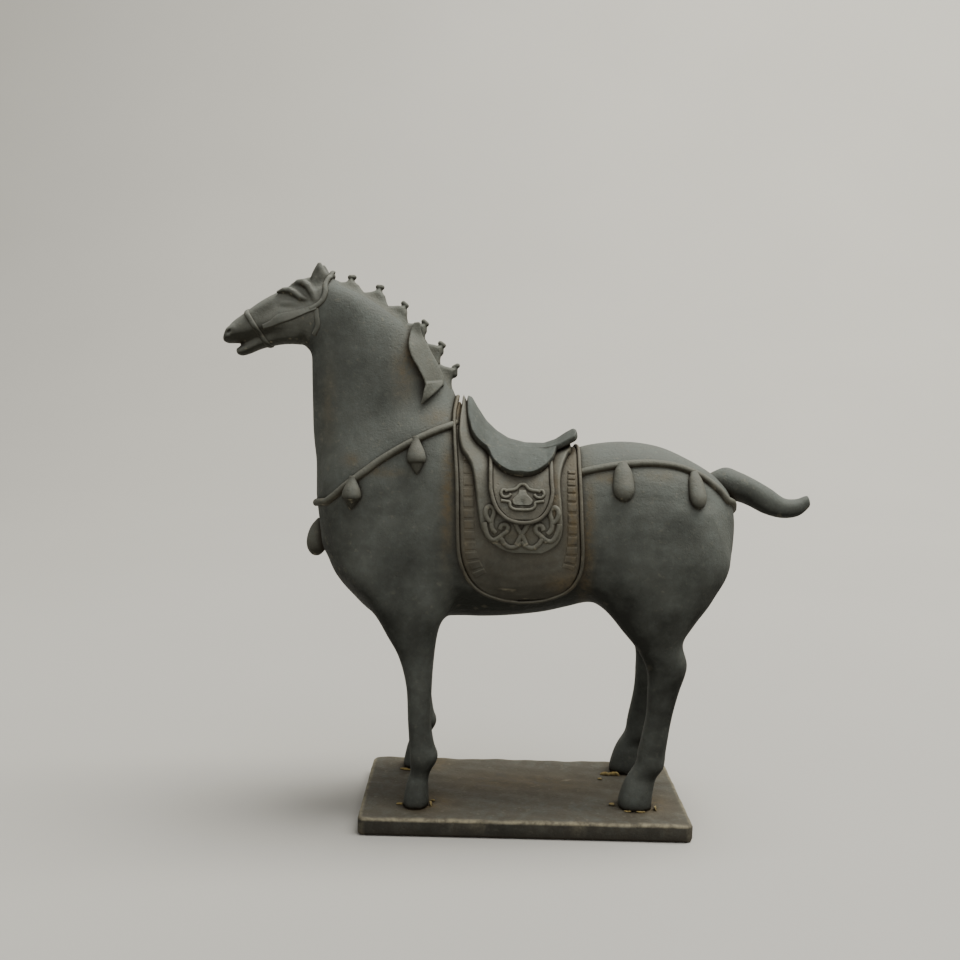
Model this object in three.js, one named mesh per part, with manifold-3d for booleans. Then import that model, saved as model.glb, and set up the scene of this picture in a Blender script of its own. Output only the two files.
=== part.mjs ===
// Small cast-bronze saddled horse standing on a thin rectangular plate.
// Millimetres, +Z up, -X towards the horse's head, -Y on the horse's left side.
// The origin is the centre of the plate's underside.
import * as THREE from 'three';
import { mergeVertices } from 'three/addons/utils/BufferGeometryUtils.js';
import Module from 'manifold-3d';

const wasm = await Module();
wasm.setup();

// ---- driving dimensions ----
const PLATE_LENGTH = 39.6;
const PLATE_WIDTH = 21;
const PLATE_THICK = 2.2;
const PLATE_CORNER = 0.8;
const PLATE_BEVEL = 0.35;
const GAP = 0.05;            // clear space between two pieces that are seated on each other
const PEG_RADIUS = 0.9;      // peg under each hoof
const PEG_DEEP = 1.5;
const PEG_RISE = 0.5;        // how far the peg runs up into the hoof
const HIP_Y = 4.9;           // leg centre where it enters the body
const MUDGUARD_OUT = 0.6;    // outer face of each draped layer above the horse's skin
const CLOTH_OUT = 1.4;
const APRON_OUT = 1.95;
const RIM_WIDE = 0.7;        // raised border round each flap
const RIM_HIGH = 0.25;
const STRAP_OUT = 0.65;      // straps stand this far off the skin
const STRAP_WIDE = 1.05;
const LOCK_OUT = 0.9;
const TASSEL_OUT = 0.35;     // a tassel's middle line above the skin
const BRIDLE_WIDE = 0.7;
const BRIDLE_OUT = 0.4;
const CHEEK_IN = 0.3;        // the cheek straps and locks stop this far from the middle plane
const LOCK_IN = 1.1;
const TUFT_HALF = 0.9;       // half thickness of a mane tuft, and how deep its root reaches
const TUFT_ROOT = 1.6;
const KNOB_RADIUS = 0.42;
const FAR_SIDE = 14;         // past the widest point to either side

// ---- materials ----
const patina = new THREE.MeshStandardMaterial({ color: 0x4a4a42, roughness: 0.55, metalness: 0.7 });
const plateMetal = new THREE.MeshStandardMaterial({ color: 0x5a5648, roughness: 0.5, metalness: 0.7 });
const wornMetal = new THREE.MeshStandardMaterial({ color: 0x6d6a5a, roughness: 0.45, metalness: 0.8 });

// ---- solids ----
function solid(geometry) {
  const bare = new THREE.BufferGeometry();
  bare.setAttribute('position', geometry.getAttribute('position'));
  if (geometry.index) bare.setIndex(geometry.index);
  const whole = mergeVertices(bare, 1e-4);
  const points = new Float32Array(whole.getAttribute('position').array);
  const corners = new Uint32Array(whole.index.array);
  let volume = 0;
  const p = (i) => new THREE.Vector3().fromArray(points, 3 * i);
  for (let i = 0; i < corners.length; i += 3) {
    volume += p(corners[i]).dot(p(corners[i + 1]).cross(p(corners[i + 2])));
  }
  if (volume < 0) {
    for (let i = 0; i < corners.length; i += 3) {
      const first = corners[i];
      corners[i] = corners[i + 1];
      corners[i + 1] = first;
    }
  }
  return new wasm.Manifold(new wasm.Mesh({ numProp: 3, vertProperties: points, triVerts: corners }));
}

function join(...parts) {
  return parts.reduce((sum, part) => sum.add(part));
}

// A closed body through a row of rings; every ring is a list of points of the same length.
function skin(rings) {
  const n = rings[0].length;
  const points = [];
  const faces = [];
  rings.forEach((ring) => ring.forEach((q) => points.push(q.x, q.y, q.z)));
  for (let r = 0; r + 1 < rings.length; r += 1) {
    for (let i = 0; i < n; i += 1) {
      const a = r * n + i;
      const b = r * n + (i + 1) % n;
      faces.push(a, b, b + n, a, b + n, a + n);
    }
  }
  [0, rings.length - 1].forEach((r, last) => {
    const middle = rings[r].reduce((sum, q) => sum.add(q), new THREE.Vector3()).divideScalar(n);
    const centre = points.length / 3;
    points.push(middle.x, middle.y, middle.z);
    for (let i = 0; i < n; i += 1) {
      const a = r * n + i;
      const b = r * n + (i + 1) % n;
      if (last) faces.push(a, b, centre);
      else faces.push(b, a, centre);
    }
  });
  const geometry = new THREE.BufferGeometry();
  geometry.setAttribute('position', new THREE.Float32BufferAttribute(points, 3));
  geometry.setIndex(faces);
  return solid(geometry);
}

// Catmull-Rom between rows of numbers, `between` extra rows in each gap.
function refine(rows, between) {
  const out = [];
  for (let i = 0; i + 1 < rows.length; i += 1) {
    const before = rows[Math.max(i - 1, 0)];
    const after = rows[Math.min(i + 2, rows.length - 1)];
    for (let k = 0; k <= between; k += 1) {
      const t = k / (between + 1);
      out.push(rows[i].map((v1, j) => {
        const v2 = rows[i + 1][j];
        const bend = (2 * before[j] - 5 * v1 + 4 * v2 - after[j]) * t * t;
        const turn = (3 * v1 - before[j] - 3 * v2 + after[j]) * t * t * t;
        return v1 + 0.5 * ((v2 - before[j]) * t + bend + turn);
      }));
    }
  }
  out.push(rows[rows.length - 1]);
  return out;
}

// A limb seen from the side. Each row is [x1, z1, x2, z2, half width, centre y]: its section
// passes through both side-view points and is `half width` deep to either side of centre y.
// `grow` moves the whole skin outwards; `square` above 2 makes the section boxier.
function limb(rows, { grow = 0, sides = 18, between = 1, square = 2.2 } = {}) {
  const fine = refine(rows, between);
  const middles = fine.map((r) => new THREE.Vector3((r[0] + r[2]) / 2, r[5] ?? 0, (r[1] + r[3]) / 2));
  return skin(fine.map((r, k) => {
    const half = new THREE.Vector3((r[2] - r[0]) / 2, 0, (r[3] - r[1]) / 2);
    const reach = half.length() + grow;
    half.setLength(reach);
    const middle = middles[k].clone();
    if (k === 0) middle.addScaledVector(middles[0].clone().sub(middles[1]).normalize(), grow);
    if (k === fine.length - 1) {
      middle.addScaledVector(middles[k].clone().sub(middles[k - 1]).normalize(), grow);
    }
    const ring = [];
    for (let i = 0; i < sides; i += 1) {
      const a = 2 * Math.PI * (i + 0.5) / sides;
      const c = Math.sign(Math.cos(a)) * Math.abs(Math.cos(a)) ** (2 / square);
      const s = Math.sign(Math.sin(a)) * Math.abs(Math.sin(a)) ** (2 / square);
      ring.push(middle.clone().addScaledVector(half, c).add(new THREE.Vector3(0, s * (r[4] + grow), 0)));
    }
    return ring;
  }));
}

// A side-view outline [[x, z], ...] run across the horse from y0 to y1.
function across(outline, y0 = -FAR_SIDE, y1 = FAR_SIDE) {
  const shape = new THREE.Shape(outline.map(([x, z]) => new THREE.Vector2(x, z)));
  const geometry = new THREE.ExtrudeGeometry(shape, { depth: y1 - y0, bevelEnabled: false });
  geometry.rotateX(Math.PI / 2);
  geometry.translate(0, y1, 0);
  return solid(geometry);
}

function curve(points, count, closed = false) {
  const line = new THREE.CatmullRomCurve3(points.map(([x, z]) => new THREE.Vector3(x, 0, z)), closed,
    'centripetal');
  return line.getSpacedPoints(count).map((q) => [q.x, q.z]);
}

// The outline of a band of the given width along a side-view line.
function band(points, wide, count) {
  const line = curve(points, count);
  const shift = (side) => line.map(([x, z], i) => {
    const [ax, az] = line[Math.max(i - 1, 0)];
    const [bx, bz] = line[Math.min(i + 1, line.length - 1)];
    const run = Math.hypot(bx - ax, bz - az);
    return [x - side * (wide / 2) * (bz - az) / run, z + side * (wide / 2) * (bx - ax) / run];
  });
  return [...shift(1), ...shift(-1).reverse()];
}

// The outline moved inwards by `by`, for a flap whose corners run anticlockwise or clockwise.
function inset(outline, by) {
  const n = outline.length;
  const area = outline.reduce((sum, [x, z], i) => {
    const [nx, nz] = outline[(i + 1) % n];
    return sum + x * nz - nx * z;
  }, 0);
  const turn = Math.sign(area);
  return outline.map(([x, z], i) => {
    const [ax, az] = outline[(i + n - 1) % n];
    const [bx, bz] = outline[(i + 1) % n];
    const run = Math.hypot(bx - ax, bz - az);
    return [x - turn * by * (bz - az) / run, z + turn * by * (bx - ax) / run];
  });
}

// ---- the horse's casting ----
const TRUNK = [
  [-25.4, 39.4, -25.0, 32.0, 3.0],
  [-24.6, 42.0, -23.7, 29.3, 5.2],
  [-22.6, 44.6, -21.7, 27.0, 6.8],
  [-19.0, 47.5, -19.0, 24.8, 7.5],
  [-14.5, 50.0, -14.5, 24.4, 7.7],
  [-10.5, 49.8, -10.5, 24.4, 7.8],
  [-8.0, 47.5, -8.0, 24.5, 7.8],
  [-5.5, 45.2, -5.5, 24.5, 7.8],
  [-2.5, 43.5, -2.5, 24.7, 7.8],
  [1.5, 43.9, 1.5, 25.2, 7.8],
  [4.5, 45.2, 4.5, 25.9, 7.8],
  [7.5, 46.1, 7.5, 26.6, 7.9],
  [11.5, 46.5, 11.5, 26.4, 8.0],
  [15.5, 46.0, 15.5, 26.4, 7.8],
  [19.0, 44.6, 19.0, 27.0, 7.0],
  [22.0, 42.9, 22.2, 28.9, 5.5],
  [24.0, 41.0, 24.3, 31.6, 3.8],
  [24.8, 38.6, 24.9, 34.4, 2.0],
];
const NECK = [
  [-24.6, 34.0, -5.0, 38.0, 5.6],
  [-25.6, 38.4, -7.0, 45.5, 6.2],
  [-26.2, 42.0, -9.1, 49.8, 5.8],
  [-26.8, 46.2, -10.0, 52.6, 5.0],
  [-27.0, 50.4, -12.2, 56.2, 4.3],
  [-27.1, 54.2, -14.4, 59.0, 3.8],
  [-27.2, 57.4, -17.2, 61.6, 3.4],
  [-27.4, 60.0, -20.8, 63.7, 3.0],
  [-27.8, 62.4, -24.4, 64.9, 2.4],
];
// Front and rear edge of each leg from the belly to the sole, with its half thickness.
const FORELEG = [
  [-18.5, 36.0, -11.0, 35.5, 1.6],
  [-20.8, 30.5, -9.4, 30.5, 2.75],
  [-19.3, 27.0, -9.9, 27.0, 2.9],
  [-17.2, 23.2, -10.9, 23.4, 2.3],
  [-15.6, 20.4, -11.3, 20.4, 1.9],
  [-14.6, 16.8, -11.5, 16.8, 1.6],
  [-14.3, 12.6, -11.5, 12.6, 1.5],
  [-14.1, 9.9, -11.1, 9.9, 1.5],
  [-14.0, 8.2, -10.6, 8.2, 1.6],
  [-13.9, 6.3, -11.5, 6.3, 1.25],
  [-14.3, 4.9, -11.7, 4.9, 1.4],
  [-14.6, 3.2, -11.6, 3.2, 1.6],
  [-14.7, PLATE_THICK, -11.6, PLATE_THICK, 1.7],
];
const HINDLEG = [
  [9.5, 38.0, 21.0, 38.0, 1.6],
  [7.0, 32.0, 23.6, 32.5, 3.0],
  [8.4, 27.8, 22.0, 28.2, 3.0],
  [10.9, 24.4, 19.8, 24.9, 2.5],
  [13.0, 21.9, 18.6, 22.6, 2.0],
  [14.4, 19.2, 19.2, 19.8, 1.75],
  [14.6, 16.2, 18.3, 16.4, 1.55],
  [14.5, 13.2, 17.6, 13.2, 1.45],
  [13.8, 9.4, 17.1, 9.4, 1.5],
  [13.5, 7.5, 16.9, 7.3, 1.55],
  [12.6, 6.0, 16.1, 6.0, 1.4],
  [12.1, 4.9, 15.8, 4.9, 1.6],
  [11.6, 3.2, 15.6, 3.2, 1.9],
  [11.5, PLATE_THICK, 15.6, PLATE_THICK, 1.95],
];

// Each leg's rows, its side, how far the hoof steps back from the rows, and the sole's centre.
const STANCE = [
  [FORELEG, -1, 0, [-13.15, -6.0]],
  [HINDLEG, -1, 0, [13.4, -4.9]],
  [FORELEG, 1, -0.9, [-14.05, 7.4]],
  [HINDLEG, 1, 0.4, [13.8, 7.4]],
];

function leg([rows, side, stride, sole], grow) {
  const top = rows[1][1];
  const placed = rows.map(([x1, z1, x2, z2, half]) => {
    const down = Math.max(0, (top - z1) / (top - PLATE_THICK));
    const move = stride * down;
    const y = side * HIP_Y + (sole[1] - side * HIP_Y) * Math.min(1, 1.5 * down);
    return [x1 + move, z1, x2 + move, z2, half, y];
  });
  return limb(placed, { grow, sides: 12, between: 0, square: 2.6 });
}

function horse(grow) {
  const trunk = limb(TRUNK, { grow, sides: 20, square: 2.3 });
  return join(trunk, limb(NECK, { grow, sides: 18 }), ...STANCE.map((stance) => leg(stance, grow)));
}

const SOLES = STANCE.map((stance) => stance[3]);
function peg([x, y], radius, deep) {
  const geometry = new THREE.CylinderGeometry(radius, radius, deep + PEG_RISE, 12);
  geometry.rotateX(Math.PI / 2);
  geometry.translate(x, y, PLATE_THICK + (PEG_RISE - deep) / 2);
  return solid(geometry);
}

// ---- the head, cast apart and set on the neck under the headstall ----
const HEAD = [
  [-22.8, 64.0, -25.4, 56.6, 2.3],
  [-25.6, 65.8, -27.2, 56.9, 2.8],
  [-28.2, 65.7, -28.9, 57.6, 3.0],
  [-30.6, 64.3, -30.9, 57.9, 2.9],
  [-33.2, 62.7, -33.0, 58.0, 2.3],
  [-35.4, 61.2, -34.9, 58.0, 1.9],
  [-37.0, 59.7, -36.5, 57.8, 1.75],
  [-37.9, 58.5, -37.6, 57.5, 1.3],
];
const JAW = [
  [-29.5, 60.0, -29.5, 57.5, 1.9],
  [-32.4, 58.8, -32.2, 57.3, 1.6],
  [-34.4, 57.9, -34.3, 56.1, 1.3],
  [-36.0, 57.2, -35.7, 55.7, 1.15],
  [-36.7, 56.7, -36.5, 56.1, 0.7],
];
// The joint between the head and the neck casting is one plane, which leans with the headstall.
const SEAM_TOP = [-24.15, 70];
const SEAM_FOOT = [-28.45, 53];

// Everything ahead of that plane, moved forwards by `clear`.
function aheadOfSeam(clear) {
  return across([[SEAM_TOP[0] - clear, SEAM_TOP[1]], [SEAM_FOOT[0] - clear, SEAM_FOOT[1]],
    [-60, SEAM_FOOT[1]], [-60, SEAM_TOP[1]]]);
}

const headWhole = join(limb(HEAD, { sides: 18 }), limb(JAW, { sides: 12 }));
const ears = [-1, 1].map((side) => {
  const ear = new THREE.SphereGeometry(1, 10, 8);
  ear.scale(0.75, 0.5, 2.1);
  ear.rotateX(-side * 0.15);
  ear.translate(-26.15, side * 1.55, 65.6);
  return solid(ear);
});
const head = join(headWhole, ...ears).intersect(aheadOfSeam(GAP));

const neckTop = horse(0).subtract(aheadOfSeam(0));

// ---- the tail, let into the rump with a tenon ----
const TAIL = [
  [22.0, 42.4, 22.4, 40.2, 1.1],
  [23.8, 43.5, 24.3, 39.6, 1.8],
  [25.6, 43.1, 25.6, 39.4, 1.8],
  [27.6, 42.2, 27.0, 38.9, 1.6],
  [29.6, 41.1, 28.9, 38.0, 1.4],
  [31.3, 40.0, 31.1, 37.5, 1.1],
  [32.8, 40.0, 33.1, 37.8, 0.85],
  [34.2, 40.3, 34.5, 39.3, 0.4],
];
const tail = limb(TAIL, { sides: 12, between: 1 });
const tailClear = limb(TAIL, { sides: 12, between: 1, grow: GAP });

const horseBody = join(neckTop.subtract(tailClear), ...SOLES.map((at) => peg(at, PEG_RADIUS, PEG_DEEP)));

// ---- draped layers under the saddle ----
const MUDGUARD = [
  [-7.8, 52.5], [-9.1, 52.0], [-9.5, 49.6], [-9.3, 46.5], [-8.9, 41.4], [-8.7, 36.1], [-8.4, 32.9],
  [-7.4, 30.4], [-5.8, 28.8], [-3.5, 27.9], [-0.7, 27.6], [2.1, 28.0], [4.2, 29.0], [5.4, 30.7],
  [5.8, 33.2], [5.5, 38.2], [5.3, 43.5], [5.4, 48.2],
];
const CLOTH = [
  [-7.2, 52.5], [-8.0, 46.8], [-7.3, 43.9], [-6.9, 41.5], [-6.5, 38.6], [-6.0, 36.3], [-4.9, 34.9],
  [-3.3, 34.0], [-0.9, 33.6], [1.6, 34.0], [2.9, 34.9], [3.4, 36.4], [3.3, 39.1], [3.1, 42.0],
  [3.6, 44.4], [4.6, 46.0], [4.9, 49.0],
];
const APRON = [
  [-5.0, 52.5], [-5.0, 42.3], [-4.8, 40.5], [-4.2, 39.0], [-3.2, 38.0], [-2.0, 37.5], [-0.5, 37.6],
  [0.8, 38.1], [1.6, 39.2], [2.0, 40.8], [1.9, 42.6], [1.9, 49.0],
];
const SADDLE = [
  [-8.2, 50.3], [-8.3, 51.3], [-8.0, 51.7], [-7.4, 51.6], [-6.6, 50.1], [-5.7, 48.7], [-4.4, 47.5],
  [-2.9, 46.6], [-0.8, 46.1], [1.5, 46.1], [2.9, 46.5], [4.2, 47.4], [5.2, 47.9], [5.7, 47.6],
  [4.7, 46.8], [3.2, 45.9], [2.4, 44.7], [1.6, 43.8], [0.3, 43.2], [-1.3, 42.9], [-2.8, 43.2],
  [-4.2, 43.9], [-5.1, 44.9], [-5.9, 46.3], [-7.0, 47.2], [-7.7, 48.5],
];
function trunkOnly(grow) {
  return limb(TRUNK, { grow, sides: 20, square: 2.3 });
}
// The mudguard hangs as one flap over the back with a raised border, and stops above the belly.
const aboveBelly = across([[-20, 27.2], [20, 27.2], [20, 60], [-20, 60]]);
const mudguardField = across(MUDGUARD);
const mudguardRim = mudguardField.subtract(across(inset(MUDGUARD, RIM_WIDE)));
const mudguard = trunkOnly(MUDGUARD_OUT).intersect(mudguardField)
  .add(trunkOnly(MUDGUARD_OUT + RIM_HIGH).intersect(mudguardRim))
  .subtract(horse(GAP)).intersect(aboveBelly);
const cloth = trunkOnly(CLOTH_OUT).intersect(across(CLOTH)).subtract(trunkOnly(MUDGUARD_OUT + GAP))
  .subtract(horse(GAP)).subtract(mudguard);
const apron = trunkOnly(APRON_OUT).intersect(across(APRON)).subtract(trunkOnly(CLOTH_OUT + GAP))
  .subtract(horse(GAP));
const saddleSeat = [
  [-8.9, 52.0, -8.9, 24.0, 10.2],
  [-8.0, 51.7, -8.0, 24.0, 10.3],
  [-6.6, 50.1, -6.6, 24.0, 10.5],
  [-4.4, 47.6, -4.4, 24.0, 10.7],
  [-0.8, 46.2, -0.8, 24.0, 10.8],
  [2.2, 46.3, 2.2, 24.0, 10.8],
  [4.2, 47.5, 4.2, 24.0, 10.7],
  [6.2, 48.0, 6.2, 24.0, 10.5],
];
const saddle = limb(saddleSeat, { sides: 26, between: 2, square: 2.3 }).intersect(across(SADDLE))
  .subtract(trunkOnly(APRON_OUT + GAP)).subtract(horse(GAP)).subtract(mudguard);

// ---- harness straps with their hanging tassels ----
const BREAST = [[-9.8, 48.2], [-12.2, 47.3], [-15.1, 45.8], [-18.0, 44.0], [-20.2, 42.3], [-22.0, 40.9],
  [-23.3, 39.7], [-24.6, 38.6], [-26.2, 38.0], [-28.0, 37.8]];
const CRUPPER = [[6.1, 43.1], [8.0, 43.6], [10.0, 43.95], [12.2, 44.2], [14.2, 44.2], [16.4, 43.95], [18.5, 43.3],
  [20.6, 42.2], [22.5, 40.6], [24.2, 38.9], [26.5, 37.9]];
function strap(line, grow = 0) {
  const strip = across(band(line, STRAP_WIDE + 2 * grow, 14));
  return horse(STRAP_OUT + grow).intersect(strip);
}
const breastStrap = strap(BREAST).subtract(horse(GAP));
const crupperStrap = strap(CRUPPER).subtract(horse(GAP)).subtract(tailClear);

const skinNow = horse(0);
// How far the skin reaches out to one side at a side-view point, found by halving.
function reach(x, z, side) {
  let inside = 0;
  let outside = 12;
  for (let k = 0; k < 9; k += 1) {
    const middle = (inside + outside) / 2;
    const probe = new THREE.BoxGeometry(0.1, outside - middle, 0.1);
    probe.translate(x, side * (outside + middle) / 2, z);
    if (solid(probe).intersect(skinNow).isEmpty()) outside = middle;
    else inside = middle;
  }
  return inside;
}
// Knops as [share of the way down, share of the half width]: a bell over a cone, and a round pill.
const BELL = [[0, 0], [0, 0.35], [0.2, 0.5], [0.42, 0.85], [0.62, 1], [0.7, 0.93], [0.85, 0.5], [1, 0]];
const PILL = [[0, 0], [0, 0.45], [0.12, 0.75], [0.3, 0.95], [0.6, 1], [0.8, 0.85], [0.93, 0.5], [1, 0]];
// Each tassel's shape, side-view top, length and width.
const TASSELS = {
  tassel_shoulder: [BELL, [-13.9, 45.3], 2.85, 2.15],
  tassel_chest: [BELL, [-21.3, 40.7], 2.6, 2.2],
  tassel_hip: [PILL, [10.4, 43.95], 4.0, 2.5],
  tassel_rump: [PILL, [19.2, 42.2], 3.0, 2.2],
};
const FRONT_TASSEL = [PILL, [-26.4, 36.2], 4.8, 2.3];
function tassel(profile, [x, z], y, long, wide) {
  const turned = profile.map(([down, out]) => new THREE.Vector2(out * wide / 2, -down * long));
  const geometry = new THREE.LatheGeometry(turned, 12);
  geometry.rotateX(Math.PI / 2);
  geometry.translate(x, y, z);
  return solid(geometry);
}

const group = new THREE.Group();
group.name = 'bronze_horse';
function add(name, body, material) {
  const mesh = body.getMesh();
  const geometry = new THREE.BufferGeometry();
  const count = mesh.vertProperties.length / mesh.numProp;
  const points = new Float32Array(3 * count);
  for (let i = 0; i < count; i += 1) {
    for (let k = 0; k < 3; k += 1) points[3 * i + k] = mesh.vertProperties[mesh.numProp * i + k];
  }
  geometry.setAttribute('position', new THREE.BufferAttribute(points, 3));
  geometry.setIndex(new THREE.BufferAttribute(new Uint32Array(mesh.triVerts), 1));
  geometry.computeVertexNormals();
  const node = new THREE.Mesh(geometry, material);
  node.name = name;
  group.add(node);
}

// ---- the plate ----
function plateShape() {
  const x = PLATE_LENGTH / 2 - PLATE_BEVEL;
  const y = PLATE_WIDTH / 2 - PLATE_BEVEL;
  const r = PLATE_CORNER;
  const shape = new THREE.Shape();
  shape.moveTo(-x + r, -y);
  shape.lineTo(x - r, -y);
  shape.absarc(x - r, -y + r, r, -Math.PI / 2, 0);
  shape.lineTo(x, y - r);
  shape.absarc(x - r, y - r, r, 0, Math.PI / 2);
  shape.lineTo(-x + r, y);
  shape.absarc(-x + r, y - r, r, Math.PI / 2, Math.PI);
  shape.lineTo(-x, -y + r);
  shape.absarc(-x + r, -y + r, r, Math.PI, 1.5 * Math.PI);
  return shape;
}
const plateBlank = new THREE.ExtrudeGeometry(plateShape(), {
  depth: PLATE_THICK - 2 * PLATE_BEVEL,
  bevelThickness: PLATE_BEVEL,
  bevelSize: PLATE_BEVEL,
  bevelSegments: 2,
  curveSegments: 4,
});
plateBlank.translate(0, 0, PLATE_BEVEL);
let plate = solid(plateBlank);
SOLES.forEach((at) => {
  plate = plate.subtract(peg(at, PEG_RADIUS + GAP, PEG_DEEP + GAP));
});

// ---- mane: six clipped tufts stepping down the crest, each with a tied knob ----
// Each row runs along a tuft's top: front foot, shoulder, knob, rear shoulder, heel.
const TUFTS = [
  [[-24.3, 64.35], [-23.3, 64.85], [-22.4, 65.5], [-21.6, 64.7], [-21.0, 63.6]],
  [[-20.8, 63.65], [-19.7, 64.0], [-19.0, 64.45], [-18.4, 63.5], [-18.1, 62.2]],
  [[-17.8, 62.2], [-16.7, 62.35], [-16.0, 62.5], [-15.7, 61.5], [-15.65, 60.1]],
  [[-15.5, 60.1], [-14.4, 60.35], [-13.6, 60.35], [-13.4, 59.4], [-13.5, 57.9]],
  [[-13.4, 57.9], [-12.3, 57.75], [-11.5, 57.8], [-11.4, 56.9], [-11.6, 55.5]],
  [[-11.5, 55.3], [-10.4, 55.05], [-9.8, 55.15], [-9.9, 54.1], [-10.3, 52.7]],
];
function tuft([foot, shoulder, knob, rear, heel]) {
  const run = Math.hypot(heel[0] - foot[0], heel[1] - foot[1]);
  const inX = TUFT_ROOT * (heel[1] - foot[1]) / run;
  const inZ = -TUFT_ROOT * (heel[0] - foot[0]) / run;
  const half = 0.6 * KNOB_RADIUS;
  const tied = knob[1] - 0.7 * KNOB_RADIUS;
  const stem = across([foot, shoulder, [knob[0] - half, tied], [knob[0] + half, tied], rear, heel,
    [heel[0] + inX, heel[1] + inZ], [foot[0] + inX, foot[1] + inZ]], -TUFT_HALF, TUFT_HALF);
  const ball = new THREE.SphereGeometry(KNOB_RADIUS, 10, 6);
  ball.translate(knob[0], 0, knob[1]);
  return stem.add(solid(ball));
}

// ---- lock of mane hanging on each side, ending in a pointed curl ----
const LOCK = [[-15.2, 59.6], [-15.0, 57.4], [-14.3, 55.4], [-13.3, 54.0], [-13.0, 52.4], [-13.1, 51.0],
  [-11.6, 51.9], [-10.9, 52.9], [-11.7, 54.6], [-12.7, 57.0], [-13.6, 58.6]];

// ---- bridle ----
const NOSEBAND = [[-36.2, 62.2], [-35.0, 60.8], [-33.5, 58.9], [-32.8, 58.0], [-32.3, 57.2]];
const CHEEK = [[-33.1, 59.0], [-31.8, 59.4], [-30.0, 60.2], [-28.2, 60.9], [-27.3, 61.3]];
const HEADSTALL = [[-25.1, 66.6], [-25.7, 64.0], [-26.5, 61.0], [-27.2, 58.4], [-28.0, 55.6]];
const bridleStrip = (line, extra = 0) => across(band(line, BRIDLE_WIDE + 2 * extra, 7));
const headGrown = (grow) => join(limb(HEAD, { sides: 18, grow }), limb(JAW, { sides: 12, grow }));
const headAndNeck = (grow) => join(headGrown(grow), limb(NECK, { sides: 20, grow }));
const headstall = headAndNeck(BRIDLE_OUT + 0.1).intersect(bridleStrip(HEADSTALL))
  .subtract(headAndNeck(GAP)).subtract(join(...ears)).subtract(horse(GAP));
const noseband = limb(HEAD, { sides: 18, grow: BRIDLE_OUT }).intersect(bridleStrip(NOSEBAND))
  .subtract(headGrown(GAP));
const cheekBoth = headGrown(BRIDLE_OUT).intersect(bridleStrip(CHEEK)).subtract(headGrown(GAP))
  .subtract(bridleStrip(NOSEBAND, GAP)).subtract(bridleStrip(HEADSTALL, GAP));

// ---- assembly ----
add('base_plate', plate, plateMetal);
add('horse_body', horseBody, patina);
add('head', head, patina);
add('tail', tail, patina);
add('mudguard', mudguard, patina);
add('saddle_cloth', cloth, patina);
add('saddle_apron', apron, patina);
add('saddle', saddle, patina);
add('breast_strap', breastStrap, wornMetal);
add('crupper_strap', crupperStrap, wornMetal);
add('noseband', noseband, wornMetal);
add('headstall', headstall, wornMetal);
[-1, 1].forEach((side) => {
  const name = side < 0 ? 'left' : 'right';
  const half = across([[-60, 0], [60, 0], [60, 80], [-60, 80]], side < 0 ? -FAR_SIDE : CHEEK_IN,
    side < 0 ? -CHEEK_IN : FAR_SIDE);
  add(`cheek_strap_${name}`, cheekBoth.intersect(half), wornMetal);
  Object.entries(TASSELS).forEach(([key, [profile, top, long, wide]]) => {
    const y = side * (reach(top[0], top[1] - long / 2, side) + TASSEL_OUT);
    const hung = tassel(profile, top, y, long, wide).subtract(horse(GAP));
    add(`${key}_${name}`, hung.subtract(breastStrap).subtract(crupperStrap), wornMetal);
  });
  const lock = across(curve(LOCK, 20, true), side < 0 ? -FAR_SIDE : LOCK_IN, side < 0 ? -LOCK_IN : FAR_SIDE)
    .intersect(limb(NECK, { grow: LOCK_OUT, sides: 20 }));
  add(`mane_lock_${name}`, lock.subtract(horse(GAP)), patina);
});
const [frontShape, frontTop, frontLong, frontWide] = FRONT_TASSEL;
const front = tassel(frontShape, frontTop, 0, frontLong, frontWide).subtract(horse(GAP));
add('tassel_front', front.subtract(breastStrap), wornMetal);
TUFTS.forEach((row, i) => {
  add(`mane_tuft_${i + 1}`, tuft(row).subtract(horse(GAP)).subtract(head), patina);
});

export default group;
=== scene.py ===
"""Small cast-bronze saddled horse on a thin plate: the looks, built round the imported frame.

Lengths are millimetres in the horse's own frame (head towards -X, its left side towards -Y, +Z up,
zero at the middle of the plate's underside) and become metres when a piece is made.
"""

import bpy
import numpy as np
import openvdb
from mathutils import Matrix, Vector


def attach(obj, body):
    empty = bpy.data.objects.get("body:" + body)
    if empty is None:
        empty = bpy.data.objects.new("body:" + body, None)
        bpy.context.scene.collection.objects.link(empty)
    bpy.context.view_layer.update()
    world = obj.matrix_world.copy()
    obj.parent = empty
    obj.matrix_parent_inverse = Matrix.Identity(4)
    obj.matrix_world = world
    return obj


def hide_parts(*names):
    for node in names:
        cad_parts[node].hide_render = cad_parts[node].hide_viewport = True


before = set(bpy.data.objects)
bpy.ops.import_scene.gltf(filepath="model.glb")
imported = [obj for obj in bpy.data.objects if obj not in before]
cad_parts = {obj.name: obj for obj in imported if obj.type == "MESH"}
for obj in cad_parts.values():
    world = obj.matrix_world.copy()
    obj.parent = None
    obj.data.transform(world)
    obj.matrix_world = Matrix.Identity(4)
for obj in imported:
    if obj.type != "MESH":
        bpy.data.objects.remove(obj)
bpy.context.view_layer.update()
MM = 0.001

# ---------------------------------------------------------------------------------------------
# The view: a little above the saddle, square to the horse's left side, with a slightly wide lens.
EYE = (-6.5, -133.28, 54.38)
LOOK_DOWN = np.radians(5.6)
LOOK_ASIDE = np.radians(0.08)
HEAD_TILT = np.radians(1.405)
SENSOR = 36.0
FOCAL = SENSOR * 1085 / 960
NEAREST, FARTHEST = 0.005, 20      # metres


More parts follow.
